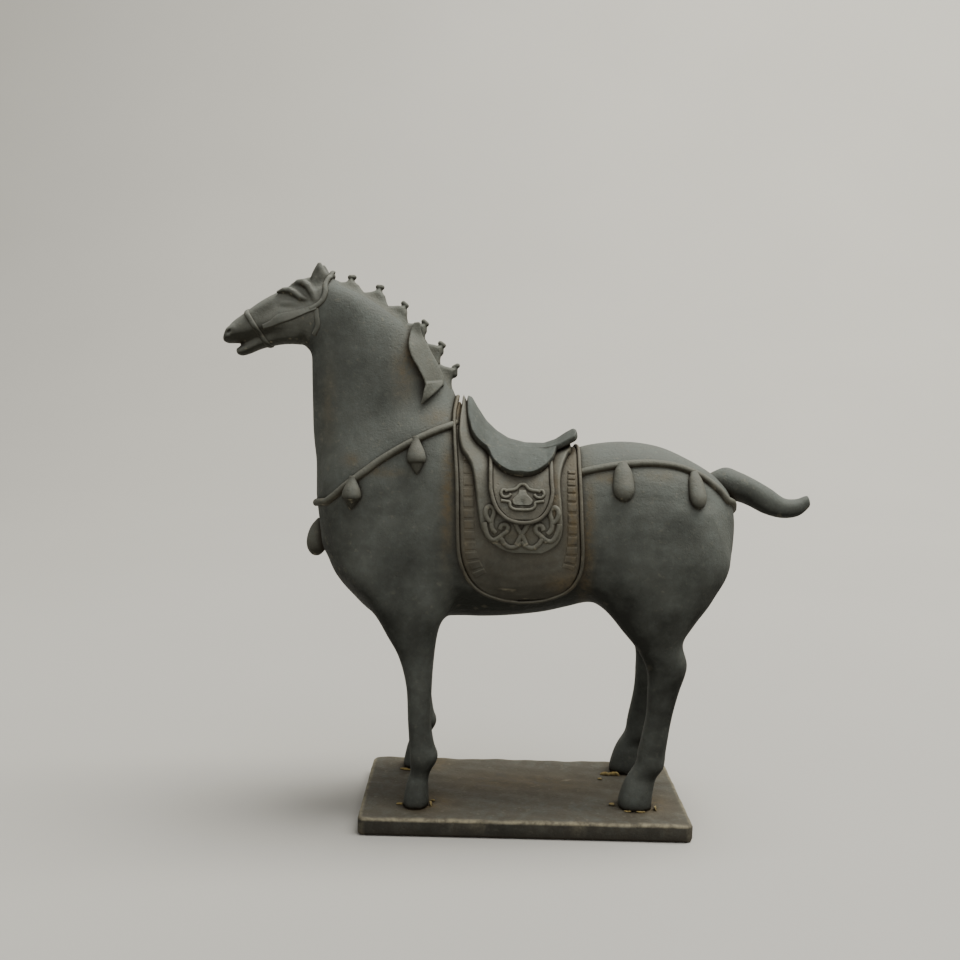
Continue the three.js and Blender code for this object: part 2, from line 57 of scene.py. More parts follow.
def aim():
    """Camera axes: ahead = (sin a cos d, cos a cos d, -sin d) for a turned aside and d down; right
    and up are square to it and then rolled by the tilt."""
    ahead = np.array([np.sin(LOOK_ASIDE) * np.cos(LOOK_DOWN), np.cos(LOOK_ASIDE) * np.cos(LOOK_DOWN),
                      -np.sin(LOOK_DOWN)])
    right = np.array([np.cos(LOOK_ASIDE), -np.sin(LOOK_ASIDE), 0.0])
    up = np.cross(right, ahead)
    rolled = right * np.cos(HEAD_TILT) + up * np.sin(HEAD_TILT)
    upright = up * np.cos(HEAD_TILT) - right * np.sin(HEAD_TILT)
    turn = np.eye(4)
    turn[:3, 0], turn[:3, 1], turn[:3, 2], turn[:3, 3] = rolled, upright, -ahead, np.array(EYE) * MM
    return Matrix(turn.tolist())


lens = bpy.data.cameras.new("camera")
lens.sensor_width = SENSOR
lens.lens = FOCAL
lens.clip_start = NEAREST
lens.clip_end = FARTHEST
viewer = bpy.data.objects.new("camera", lens)
viewer.matrix_world = aim()
bpy.context.collection.objects.link(viewer)
bpy.context.scene.camera = viewer


# ---------------------------------------------------------------------------------------------
# The table and backdrop: one pale matt sheet of paper that lies flat and then curves up behind.
def linear(colour, alpha=1.0):
    """sRGB hex to linear: c / 12.92 below 0.04045, else ((c + 0.055) / 1.055) to the power 2.4."""
    c = np.array([int(colour[i:i + 2], 16) for i in (1, 3, 5)]) / 255
    c = np.where(c <= 0.04045, c / 12.92, ((c + 0.055) / 1.055) ** 2.4)
    return (*c.tolist(), alpha)


def put(tree, kind, feeds=None, **settings):
    """Adds one node: settings are its own properties, feeds maps input names or numbers to a value
    or to another node's output."""
    node = tree.nodes.new(kind)
    for name, value in settings.items():
        setattr(node, name, value)
    for name, value in (feeds or {}).items():
        if isinstance(value, bpy.types.NodeSocket):
            tree.links.new(value, node.inputs[name])
        else:
            node.inputs[name].default_value = value
    return node


def new_tree(name):
    material = bpy.data.materials.new(name)
    material.use_nodes = True
    material.node_tree.nodes.clear()
    return material, material.node_tree


def matt_paper():
    """Uncoated pale grey paper: fully rough, with a faint cloudiness from its pulp."""
    material, tree = new_tree("matt_grey_paper")
    place = put(tree, "ShaderNodeTexCoord").outputs["Object"]
    pulp = put(tree, "ShaderNodeTexNoise", {"Vector": place, "Scale": 9.0, "Detail": 4.0})
    tone = put(tree, "ShaderNodeMix", {"Factor": pulp.outputs["Fac"], "A": linear("#b3b1ac"),
                                       "B": linear("#bbb9b4")}, data_type="RGBA")
    face = put(tree, "ShaderNodeBsdfPrincipled", {"Base Color": tone.outputs["Result"], "Roughness": 1.0,
                                                  "Specular IOR Level": 0.2})
    put(tree, "ShaderNodeOutputMaterial", {"Surface": face.outputs["BSDF"]})
    return material


def sweep():
    """P(u, v): u runs across, v along the floor, round a quarter circle and up the wall."""
    near, bend, radius, top, half = -900.0, 260.0, 500.0, 1300.0, 1500.0
    turn = np.linspace(0, np.pi / 2, 24)
    y = np.concatenate([[near, 0.0, bend * 0.7], bend + radius * np.sin(turn), [bend + radius]])
    z = np.concatenate([[0.0, 0.0, 0.0], radius * (1 - np.cos(turn)), [top]])
    x = np.linspace(-half, half, 9)
    points = np.stack([np.broadcast_to(x, (len(y), len(x))), np.repeat(y[:, None], len(x), 1),
                       np.repeat(z[:, None], len(x), 1)], -1).reshape(-1, 3)
    number = np.arange(len(points)).reshape(len(y), len(x))
    quads = np.stack([number[:-1, :-1], number[:-1, 1:], number[1:, 1:], number[1:, :-1]], -1)
    mesh = bpy.data.meshes.new("backdrop")
    mesh.from_pydata((points * MM).tolist(), [], quads.reshape(-1, 4).tolist())
    mesh.polygons.foreach_set("use_smooth", np.ones(len(mesh.polygons), bool))
    mesh.materials.append(matt_paper())
    backdrop = bpy.data.objects.new("backdrop", mesh)
    bpy.context.collection.objects.link(backdrop)


sweep()


# ---------------------------------------------------------------------------------------------
# The light: a broad soft box overhead towards the tail, a weak one in front, another that washes the
# backdrop, and an even grey room.
def soft_box(name, at, towards, size, watts, colour):
    """A square area lamp of side `size`, turned to face a point."""
    lamp = bpy.data.lights.new(name, "AREA")
    lamp.size = size * MM
    lamp.energy = watts
    lamp.color = linear(colour)[:3]
    box = bpy.data.objects.new(name, lamp)
    away = Vector(at) - Vector(towards)
    turned = away.to_track_quat("Z", "Y").to_matrix().to_4x4()
    box.matrix_world = Matrix.Translation(Vector(at) * MM) @ turned
    bpy.context.collection.objects.link(box)


soft_box("overhead", (130, -60, 430), (0, 0, 36), 460, 1.15, "#ffffff")
soft_box("front", (-110, -430, 150), (0, 0, 45), 320, 0.5, "#fffefa")
soft_box("wall_wash", (330, 150, 900), (200, 760, 300), 700, 17.0, "#fffdf4")
room = bpy.data.worlds.new("room")
room.use_nodes = True
room.node_tree.nodes["Background"].inputs["Color"].default_value = linear("#d9d8d4")
room.node_tree.nodes["Background"].inputs["Strength"].default_value = 0.24
bpy.context.scene.world = room


# ---------------------------------------------------------------------------------------------
# The casting: trunk, neck and four legs poured in one from a wax. The wax is built up from limbs
# melted into each other, and it is also the form that all the harness is laid over.
def carry(rows, count):
    """A smooth run through rows of numbers. Between rows 1 and 2 at share t it is
    r1 + ((r2 - r0) t + (2 r0 - 5 r1 + 4 r2 - r3) t^2 + (3 r1 - r0 - 3 r2 + r3) t^3) / 2."""
    rows = np.asarray(rows, float)
    t = np.linspace(0, len(rows) - 1, count)
    i = np.clip(t.astype(int), 0, len(rows) - 2)
    t = (t - i)[:, None]
    r0, r1, r2, r3 = (rows[np.clip(i + k, 0, len(rows) - 1)] for k in (-1, 0, 1, 2))
    bend = (2 * r0 - 5 * r1 + 4 * r2 - r3) * t ** 2 + (3 * r1 - r0 - 3 * r2 + r3) * t ** 3
    return r1 + ((r2 - r0) * t + bend) / 2


def outward(points, faces):
    """Turns a closed shape's faces out: their signed volume, the sum of p0 . (p1 x p2), is made
    positive."""
    volume = 0.0
    for face in faces:
        corner = points[face]
        for k in range(1, face.shape[1] - 1):
            volume += np.einsum("ij,ij->", corner[:, 0], np.cross(corner[:, k], corner[:, k + 1]))
    return points, (faces if volume > 0 else [face[:, ::-1] for face in faces])


def tube(grid, loop=False):
    """Closes a grid of rings P(u, v) into a skin: round in v, and in u either round as well or with
    a middle point at each end."""
    n, m = grid.shape[:2]
    number = np.arange(n * m).reshape(n, m)
    after = np.roll(number, -1, axis=1)
    if loop:
        low, low_after = np.roll(number, -1, axis=0), np.roll(after, -1, axis=0)
        faces = [np.stack([number, after, low_after, low], -1).reshape(-1, 4)]
        return outward(grid.reshape(-1, 3), faces)
    faces = [np.stack([number[:-1], after[:-1], after[1:], number[1:]], -1).reshape(-1, 4)]
    points = np.concatenate([grid.reshape(-1, 3), grid[0].mean(0)[None], grid[-1].mean(0)[None]])
    first = np.stack([after[0], number[0], np.full(m, n * m)], -1)
    last = np.stack([number[-1], after[-1], np.full(m, n * m + 1)], -1)
    return outward(points, faces + [first, last])


def limb(rows, square=2.2, around=44, along=96):
    """A limb through pairs of side-view points. A row is x, z of one edge, x, z of the other, half
    thickness and each edge's y. P(u, v) = middle(u) + half(u) c(v) + y w(u) s(v), where c and s are
    the cosine and sine of v, kept in sign and raised to the power 2 / square."""
    r = carry([row if len(row) == 7 else [*row, 0.0, 0.0] for row in rows], along)
    middle = np.stack([(r[:, 0] + r[:, 2]) / 2, (r[:, 5] + r[:, 6]) / 2, (r[:, 1] + r[:, 3]) / 2], -1)
    half = np.stack([(r[:, 2] - r[:, 0]) / 2, (r[:, 6] - r[:, 5]) / 2, (r[:, 3] - r[:, 1]) / 2], -1)
    v = np.linspace(0, 2 * np.pi, around, endpoint=False)
    c = np.sign(np.cos(v)) * np.abs(np.cos(v)) ** (2 / square)
    s = np.sign(np.sin(v)) * np.abs(np.sin(v)) ** (2 / square)
    sideways = np.array([0, 1, 0]) * (r[:, 4:5] * s)[..., None]
    return tube(middle[:, None] + half[:, None] * c[:, None] + sideways)


def melt(a, b, soft):
    """Joins two waxes with a fillet: min(a, b) - h^2 soft / 4 with h = max(soft - |a - b|, 0) / soft."""
    h = np.clip(soft - np.abs(a - b), 0, None) / soft
    return np.minimum(a, b) - h * h * soft / 4


def scoop(a, b, soft):
    """Cuts b out of a with a rounded lip, which is the melt of the two turned inside out."""
    return -melt(-a, b, soft)


class Wax:
    """A block of modelling wax: the distance to its skin in mm, below zero inside, on a grid."""
    WIDEST = 12        # no part of the horse is further than this from its middle plane
    SETTLINGS = 5      # steps that bring a point to its height

    def __init__(self, low, high, step, reach=3.5):
        self.low, self.step, self.reach = np.array(low, float), step, reach
        self.shape = tuple((np.ceil((np.array(high) - low) / step) + 1).astype(int))
        self.field = np.full(self.shape, reach, np.float32)
        axes = [self.low[k] + step * np.arange(self.shape[k], dtype=np.float32) for k in range(3)]
        self.x, self.y, self.z = axes[0][:, None, None], axes[1][None, :, None], axes[2][None, None, :]

    def measure(self, shape):
        """The distance field of a closed skin."""
        points, faces = shape
        quads = [f for f in faces if f.shape[1] == 4]
        tris = [f for f in faces if f.shape[1] == 3]
        grid = openvdb.FloatGrid.createLevelSetFromPolygons(
            ((points - self.low) / self.step).astype(np.float32),
            triangles=np.concatenate(tris).astype(np.uint32),
            quads=np.concatenate(quads).astype(np.uint32),
            halfWidth=self.reach / self.step)
        out = np.empty(self.shape, np.float32)
        grid.copyToArray(out)
        return out * self.step

    def rod(self, route, radii):
        """Distance to a bent rod: the least over its straights of |p - a - t (b - a)| - r(t)."""
        route = np.asarray(route, float)
        radii = np.broadcast_to(radii, len(route))
        best = np.full(self.shape, self.reach, np.float32)
        for a, b, ra, rb in zip(route[:-1], route[1:], radii[:-1], radii[1:]):
            run = b - a
            dx, dy, dz = self.x - a[0], self.y - a[1], self.z - a[2]
            t = np.clip((dx * run[0] + dy * run[1] + dz * run[2]) / (run @ run), 0, 1)
            far = np.sqrt((dx - t * run[0]) ** 2 + (dy - t * run[1]) ** 2 + (dz - t * run[2]) ** 2)
            best = np.minimum(best, far - (ra + (rb - ra) * t))
        return best

    def egg(self, at, size, lean=0.0):
        """Distance to an egg of half sizes `size`, turned by `lean` in side view: (|q / size| - 1)
        times the least half size."""
        dx, dz = self.x - at[0], self.z - at[2]
        along, over = dx * np.cos(lean) + dz * np.sin(lean), dz * np.cos(lean) - dx * np.sin(lean)
        r = np.sqrt((along / size[0]) ** 2 + ((self.y - at[1]) / size[1]) ** 2 + (over / size[2]) ** 2)
        return (r - 1) * min(size)

    def outline(self, corners):
        """Distance in side view to an outline of straights, below zero inside it: the least distance to
        any straight, its sign from how many of them a line going up from the point crosses."""
        best = np.full((self.shape[0], 1, self.shape[2]), 1e3, np.float32)
        inside = np.zeros(best.shape, bool)
        for a, b in zip(corners, np.roll(corners, -1, 0)):
            run = b - a
            dx, dz = self.x - a[0], self.z - a[1]
            t = np.clip((dx * run[0] + dz * run[1]) / (run @ run), 0, 1)
            best = np.minimum(best, np.hypot(dx - t * run[0], dz - t * run[1]))
            inside ^= ((dx < 0) != (self.x < b[0])) & (dz < dx * run[1] / (run[0] or 1e-9))
        return np.where(inside, -best, best)

    def echo(self, other):
        """Another block's distance, read off on this block's grid."""
        return other.depth(np.stack(np.broadcast_arrays(self.x, self.y, self.z), -1))

    def depth(self, p):
        """The distance at any points, by straight-line blending between the grid's eight corners."""
        q = np.clip((np.asarray(p) - self.low) / self.step, 0, np.array(self.shape) - 1.001)
        i = q.astype(int)
        f = (q - i).astype(np.float32)
        out = 0
        for k in range(8):
            e = ((k >> 2) & 1, (k >> 1) & 1, k & 1)
            share = np.prod(np.where(np.array(e) == 1, f, 1 - f), axis=-1)
            out = out + share * self.field[i[..., 0] + e[0], i[..., 1] + e[1], i[..., 2] + e[2]]
        return out

    def slope(self, p):
        """The way straight out of the skin: central differences of the distance, made unit length."""
        d = np.eye(3) * self.step
        g = np.stack([self.depth(p + d[k]) - self.depth(p - d[k]) for k in range(3)], -1)
        return g / np.maximum(np.linalg.norm(g, axis=-1, keepdims=True), 1e-6)

    def settle(self, p, lift):
        """Moves points along the slope until they lie `lift` above the skin."""
        p = np.array(p, float)
        for _ in range(self.SETTLINGS):
            p = p + (lift - self.depth(p))[..., None] * self.slope(p)
        return p

    def beside(self, x, z, side, lift=0.0):
        """Points on the skin at side-view places: the outermost y where the distance falls to lift, or
        the middle plane where it never does."""
        x, z = np.asarray(x, float), np.asarray(z, float)
        y = np.linspace(self.WIDEST, 0, 97)
        p = np.stack([np.broadcast_to(x[..., None], x.shape + y.shape),
                      np.broadcast_to(side * y, x.shape + y.shape),
                      np.broadcast_to(z[..., None], x.shape + y.shape)], -1)
        d = self.depth(p) - np.asarray(lift)[..., None]
        k = np.clip(np.argmax(d < 0, axis=-1), 1, None)
        d0, d1 = (np.take_along_axis(d, (k - j)[..., None], -1)[..., 0] for j in (1, 0))
        t = np.clip(d0 / np.maximum(d0 - d1, 1e-6), 0, 1)
        out = np.where((d < 0).any(-1), y[k - 1] + t * (y[k] - y[k - 1]), 0)
        return np.stack([x, side * out, z], -1)

    def skin(self, level=0.0):
        """The closed surface where the distance is `level`."""
        grid = openvdb.FloatGrid(self.reach)
        grid.copyFromArray(self.field)
        points, quads = grid.convertToQuads(level)
        return outward(np.array(points, float) * self.step + self.low, [np.array(quads, np.int64)])


# The up mark is lowered towards the bottom, so the legs and plate are painted darker: by how much,
# from what height, and over what drop.
FOOT_DARK, FOOT_FROM, FOOT_OVER = 0.2, 33, 14


def piece(name, shapes, material, nodes, marks=None):
    """Puts closed shapes into one mesh in metres, gives it its material, and fixes it to the casting.
    `marks` work out, from the points, numbers that the patina reads."""
    points = np.concatenate([p for p, _ in shapes])
    start = np.cumsum([0] + [len(p) for p, _ in shapes[:-1]])
    faces = [face + k for k, (_, group) in zip(start, shapes) for face in group]
    sizes = np.concatenate([np.full(len(face), face.shape[1]) for face in faces])
    mesh = bpy.data.meshes.new(name)
    mesh.vertices.add(len(points))
    mesh.vertices.foreach_set("co", (points * MM).astype(np.float32).ravel())
    mesh.loops.add(int(sizes.sum()))
    mesh.loops.foreach_set("vertex_index", np.concatenate([f.ravel() for f in faces]).astype(np.int32))
    mesh.polygons.add(len(sizes))
    mesh.polygons.foreach_set("loop_start", (np.cumsum(sizes) - sizes).astype(np.int32))
    mesh.polygons.foreach_set("use_smooth", np.ones(len(sizes), bool))
    mesh.update(calc_edges=True)
    normals = np.empty(3 * len(points), np.float32)
    mesh.vertex_normals.foreach_get("vector", normals)
    # For painted light and shade: the up mark is the normal's height, lowered towards the feet.
    low = np.clip((FOOT_FROM - points[:, 2]) / FOOT_OVER, 0, 1).astype(np.float32)
    up = normals[2::3] - FOOT_DARK * low
    mesh.attributes.new("up", "FLOAT", "POINT").data.foreach_set("value", up)
    for mark, worked_out in (marks or {}).items():
        values = worked_out(points).astype(np.float32)
        mesh.attributes.new(mark, "FLOAT", "POINT").data.foreach_set("value", values)
    mesh.materials.append(material)
    made = bpy.data.objects.new(name, mesh)
    bpy.context.collection.objects.link(made)
    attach(made, "root")
    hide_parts(*nodes)


SAND_GRAIN = 0.3    # mm: the mould's sand, drawn about as fine as it shows
POCK_DEPTH = 0.5    # a pock's depth beside the sand's


def patinated_bronze(name, lit, painted_shade_colour, rub):
    """Cast tin bronze, chemically darkened and handled: a thin slate-grey skin, cloudy over some
    millimetres, painted lighter where it faces up and painted darker beneath, darkened by painted shade
    with some grime in every hollow, with ochre wax where a mark says so, and the yellow metal just
    showing on edges. The skin is a dull compound of the metal, so it is matt and not metallic, and
    slightly rough from the mould."""
    material, tree = new_tree(name)
    place = put(tree, "ShaderNodeTexCoord").outputs["Object"]
    cloud = put(tree, "ShaderNodeTexNoise", {"Vector": place, "Scale": 1 / (7.0 * MM), "Detail": 5.0,
                                             "Roughness": 0.6}).outputs["Fac"]
    mottle = put(tree, "ShaderNodeTexNoise", {"Vector": place, "Scale": 1 / (1.3 * MM), "Detail": 6.0,
                                              "Roughness": 0.7}).outputs["Fac"]
    sand = put(tree, "ShaderNodeTexNoise", {"Vector": place, "Scale": 1 / (SAND_GRAIN * MM),
                                            "Detail": 3.0, "Roughness": 0.65}).outputs["Fac"]
    pocks = put(tree, "ShaderNodeTexVoronoi", {"Vector": place, "Scale": 1 / (1.1 * MM),
                                               "Randomness": 1.0}).outputs["Distance"]
    pock = put(tree, "ShaderNodeMapRange", {"Value": pocks, "From Min": 0.03, "From Max": 0.16,
                                            "To Min": 0.0, "To Max": 1.0}, clamp=True).outputs["Result"]
    # Painted light and shade: whatever faces up is painted lighter and the undersides darker, over a
    # cloudy tone.
    painted_light_level = put(tree, "ShaderNodeAttribute", attribute_name="up").outputs["Fac"]
    painted_light_level = put(tree, "ShaderNodeMath", {0: cloud, 1: 1.2, 2: painted_light_level},
                   operation="MULTIPLY_ADD").outputs[0]
    painted_light_and_tone = put(tree, "ShaderNodeMapRange", {"Value": painted_light_level, "From Min": 0.1,
                                             "From Max": 1.1}).outputs["Result"]
    skin = put(tree, "ShaderNodeMix", {"Factor": painted_light_and_tone, "A": linear(painted_shade_colour), "B": linear(lit)},
               data_type="RGBA").outputs["Result"]
    fleck = put(tree, "ShaderNodeMapRange", {"Value": mottle, "From Min": 0.45, "From Max": 0.70,
                                             "To Max": 0.40}).outputs["Result"]
    # The flecks are dimmed with the painted shade on the undersides.
    fleck = put(tree, "ShaderNodeMath", {0: fleck, 1: painted_light_and_tone}, operation="MULTIPLY").outputs[0]
    skin = put(tree, "ShaderNodeMix", {"Factor": fleck, "A": skin, "B": linear("#6c736f")},
               data_type="RGBA").outputs["Result"]
    speck = put(tree, "ShaderNodeTexNoise", {"Vector": place, "Scale": 1 / (0.6 * MM),
                                             "Detail": 2.0}).outputs["Fac"]
    speck = put(tree, "ShaderNodeMapRange", {"Value": speck, "From Min": 0.62, "From Max": 0.78,
                                             "To Max": 0.3}).outputs["Result"]
    # The specks too are dimmed with the painted shade on the undersides.
    speck = put(tree, "ShaderNodeMath", {0: speck, 1: painted_light_and_tone}, operation="MULTIPLY").outputs[0]
    skin = put(tree, "ShaderNodeMix", {"Factor": speck, "A": skin, "B": linear("#8b8776")},
               data_type="RGBA").outputs["Result"]
    # Painted shade with some grime in whatever is closed in within about a millimetre,
    # ochre residue where a mark says so.
    open_sky = put(tree, "ShaderNodeAmbientOcclusion", {"Distance": 1.5 * MM}, samples=6).outputs["AO"]
    crevice_shade_and_grime = put(tree, "ShaderNodeMapRange", {"Value": open_sky, "From Min": 0.88, "From Max": 0.38,
                                            "To Max": 0.9}).outputs["Result"]
    skin = put(tree, "ShaderNodeMix", {"Factor": crevice_shade_and_grime, "A": skin, "B": linear("#2a241b")},
               data_type="RGBA").outputs["Result"]
    marked = put(tree, "ShaderNodeAttribute", attribute_name="residue").outputs["Fac"]
    patch = put(tree, "ShaderNodeMapRange", {"Value": mottle, "From Min": 0.34,
                                             "From Max": 0.60}).outputs["Result"]
    dirt = put(tree, "ShaderNodeMath", {0: marked, 1: patch}, operation="MULTIPLY").outputs[0]
    skin = put(tree, "ShaderNodeMix", {"Factor": dirt, "A": skin, "B": linear("#63553c")},
               data_type="RGBA").outputs["Result"]
    # Rubbed metal: edges that a mark or the curvature of the mesh picks out.
    edge = put(tree, "ShaderNodeNewGeometry").outputs["Pointiness"]
    proud = put(tree, "ShaderNodeMapRange", {"Value": edge, "From Min": 0.53, "From Max": 0.62,
                                             "To Max": rub}).outputs["Result"]
    worn = put(tree, "ShaderNodeAttribute", attribute_name="wear").outputs["Fac"]
    bare = put(tree, "ShaderNodeMath", {0: proud, 1: worn}, operation="MAXIMUM").outputs[0]
    bare = put(tree, "ShaderNodeMath", {0: bare, 1: patch}, operation="MULTIPLY",
               use_clamp=True).outputs[0]
    skin = put(tree, "ShaderNodeMix", {"Factor": bare, "A": skin, "B": linear("#938b74")},
               data_type="RGBA").outputs["Result"]
    sheen = put(tree, "ShaderNodeMapRange", {"Value": mottle, "From Min": 0.2, "From Max": 0.8,
                                             "To Min": 0.62, "To Max": 0.8}).outputs["Result"]
    height = put(tree, "ShaderNodeMath", {0: pock, 1: POCK_DEPTH, 2: sand},
                 operation="MULTIPLY_ADD").outputs[0]
    relief = put(tree, "ShaderNodeBump", {"Height": height, "Distance": 0.09 * MM,
                                          "Strength": 1.0}).outputs["Normal"]
    face = put(tree, "ShaderNodeBsdfPrincipled", {"Base Color": skin, "Roughness": sheen,
                                                  "Specular IOR Level": 0.2, "Normal": relief})
    put(tree, "ShaderNodeOutputMaterial", {"Surface": face.outputs["BSDF"]})
    return material


# Side-view pairs: front or top edge, rear or bottom edge, half thickness (and centre y for a leg).
TRUNK = [
    [-25.4, 39.4, -25.0, 32.0, 3.0], [-24.6, 42.0, -23.7, 29.3, 5.2], [-22.6, 44.6, -21.7, 27.0, 6.8],
    [-19.0, 47.5, -19.0, 24.8, 7.5], [-14.5, 50.0, -14.5, 24.4, 7.7], [-10.5, 49.8, -10.5, 24.4, 7.8],
    [-8.0, 47.5, -8.0, 24.5, 7.8], [-5.5, 45.2, -5.5, 24.5, 7.8], [-2.5, 43.5, -2.5, 24.7, 7.8],
    [1.5, 43.9, 1.5, 25.2, 7.8], [4.5, 45.2, 4.5, 25.9, 7.8], [7.5, 46.1, 7.5, 26.6, 7.9],
    [11.5, 46.5, 11.5, 26.4, 8.0], [15.5, 46.0, 15.5, 26.4, 7.8], [19.0, 44.6, 19.0, 27.0, 7.0],
    [22.0, 42.9, 22.2, 28.9, 5.5], [24.0, 41.0, 24.3, 31.6, 3.8], [24.8, 38.6, 24.9, 34.4, 2.0],
]
NECK = [
    [-24.6, 34.0, -5.0, 38.0, 5.6], [-25.6, 38.4, -7.0, 45.5, 6.2], [-26.2, 42.0, -9.1, 49.8, 5.8],
    [-26.8, 46.2, -10.0, 52.6, 5.0], [-27.0, 50.4, -12.2, 56.2, 4.3], [-27.1, 54.2, -14.4, 59.0, 3.8],
    [-27.2, 57.4, -17.2, 61.6, 3.4], [-27.4, 60.0, -20.8, 63.7, 3.0], [-27.8, 62.4, -24.4, 64.9, 2.4],
]
SKULL = [
    [-22.8, 64.0, -25.4, 56.6, 2.3], [-25.6, 65.6, -27.2, 56.9, 2.8], [-28.2, 65.3, -28.9, 57.6, 3.0],
    [-30.6, 64.0, -30.9, 57.9, 2.9], [-33.2, 62.6, -33.0, 57.8, 2.35], [-35.4, 61.0, -34.9, 57.6, 2.0],
    [-36.8, 59.9, -36.4, 57.35, 1.85], [-37.5, 58.9, -37.35, 57.3, 1.6], [-37.8, 58.3, -37.8, 57.5, 1.1],
]
SOLE = 2.2
HIP_Y = 4.9
FORELEG = [
    [-18.5, 36.0, -11.0, 35.5, 1.6], [-20.8, 30.5, -9.4, 30.5, 2.75], [-19.3, 27.0, -9.9, 27.0, 2.9],
    [-17.2, 23.2, -10.9, 23.4, 2.3], [-15.6, 20.4, -11.3, 20.4, 1.9], [-14.6, 16.8, -11.5, 16.8, 1.6],
    [-14.3, 12.6, -11.5, 12.6, 1.5], [-14.1, 9.9, -11.1, 9.9, 1.5], [-14.0, 8.2, -10.6, 8.2, 1.6],
    [-13.9, 6.3, -11.5, 6.3, 1.25], [-14.3, 4.9, -11.7, 4.9, 1.4], [-14.6, 3.2, -11.6, 3.2, 1.6],
    [-14.7, SOLE, -11.6, SOLE, 1.7],
]
HINDLEG = [
    [9.5, 38.0, 21.0, 38.0, 1.6], [7.0, 32.0, 23.6, 32.5, 3.0], [8.4, 27.8, 22.0, 28.2, 3.0],
    [10.9, 24.4, 19.8, 24.9, 2.5], [13.0, 21.9, 18.6, 22.6, 2.0], [14.4, 19.2, 19.2, 19.8, 1.75],
    [14.6, 16.2, 18.3, 16.4, 1.55], [14.5, 13.2, 17.6, 13.2, 1.45], [13.8, 9.4, 17.1, 9.4, 1.5],
    [13.5, 7.5, 16.9, 7.3, 1.55], [12.6, 6.0, 16.1, 6.0, 1.4], [12.1, 4.9, 15.8, 4.9, 1.6],
    [11.6, 3.2, 15.6, 3.2, 1.9], [11.5, SOLE, 15.6, SOLE, 1.95],
]
LEFT, RIGHT = -1, 1
STANCE = [   # rows, side, how far the hoof steps back from the rows, its y
    (FORELEG, LEFT, 0.0, -6.0), (HINDLEG, LEFT, 0.0, -4.9),
    (FORELEG, RIGHT, -0.9, 7.4), (HINDLEG, RIGHT, 0.4, 7.4),
]


def leg(rows, side, stride, hoof_y):
    """A leg's rows set on one side: the centre line moves from the hip to the hoof, and the hoof is
    moved along by the stride."""
    r = np.array(rows)
    down = np.clip((r[1, 1] - r[:, 1]) / (r[1, 1] - SOLE), 0, None)
    r[:, [0, 2]] += stride * down[:, None]
    out = side * HIP_Y + (hoof_y - side * HIP_Y) * np.minimum(1, 1.5 * down)
    return limb(np.column_stack([r, out, out]), square=2.5, around=36)


SEAM_X, SEAM_Z, SEAM_LEAN = -26.4, 61.0, 0.25
SEAM_LAP = 1.5    # how far each casting runs on past the joint
DIVE = 0.3        # how steeply it sinks there under the other


def seam(wax):
    """The plane between the head's casting and the neck's, leaning with the headstall."""
    return ((wax.x - SEAM_X) - SEAM_LEAN * (wax.z - SEAM_Z)) / np.hypot(1, SEAM_LEAN)


NECK_FILLET, LEG_FILLET, THROAT_FILLET = 3.0, 2.5, 1.2
body = Wax((-40, -11.5, 1.2), (28, 11.5, 69), 0.265, reach=5.0)
body.field = melt(body.measure(limb(TRUNK, 2.3)), body.measure(limb(NECK)), NECK_FILLET)
for stance in STANCE:
    body.field = melt(body.field, body.measure(leg(*stance)), LEG_FILLET)
body.field = melt(body.field, body.measure(limb(SKULL)), THROAT_FILLET)
uncut = body.field
body.field = np.maximum(uncut + DIVE * np.clip(-seam(body), 0, None), -seam(body) - SEAM_LAP)


def spots(*places):
    """A mark made of soft patches on both flanks: the largest of
    s exp(-((x - x0) / a)^2 - ((z - z0) / b)^2) over places (x0, z0, a, b, s)."""
    def worked_out(points):
        held = [s * np.exp(-((points[:, 0] - x) / a) ** 2 - ((points[:, 2] - z) / b) ** 2)
                for x, z, a, b, s in places]
        return np.max(held, axis=0)
    return worked_out


dark_bronze = patinated_bronze("dark_patinated_bronze", "#60635e", "#191a16", rub=0.1)
held_wax = spots((-21.6, 43.9, 1.0, 0.7, 0.7), (-17.8, 42.7, 2.2, 0.5, 0.6),
                 (-10.1, 40.0, 0.7, 6.5, 0.8), (6.5, 36.0, 0.7, 7.0, 0.75), (-15.6, 54.8, 1.3, 3.4, 0.65),
                 (-11.5, 49.0, 1.8, 1.2, 0.5), (8.8, 42.6, 2.4, 0.7, 0.6), (-24.6, 50.0, 0.9, 5.0, 0.3),
                 (15.0, 43.0, 2.5, 0.8, 0.35))
piece("horse_casting", [body.skin()], dark_bronze, ["horse_body"],
      {"residue": held_wax})
body.field = uncut

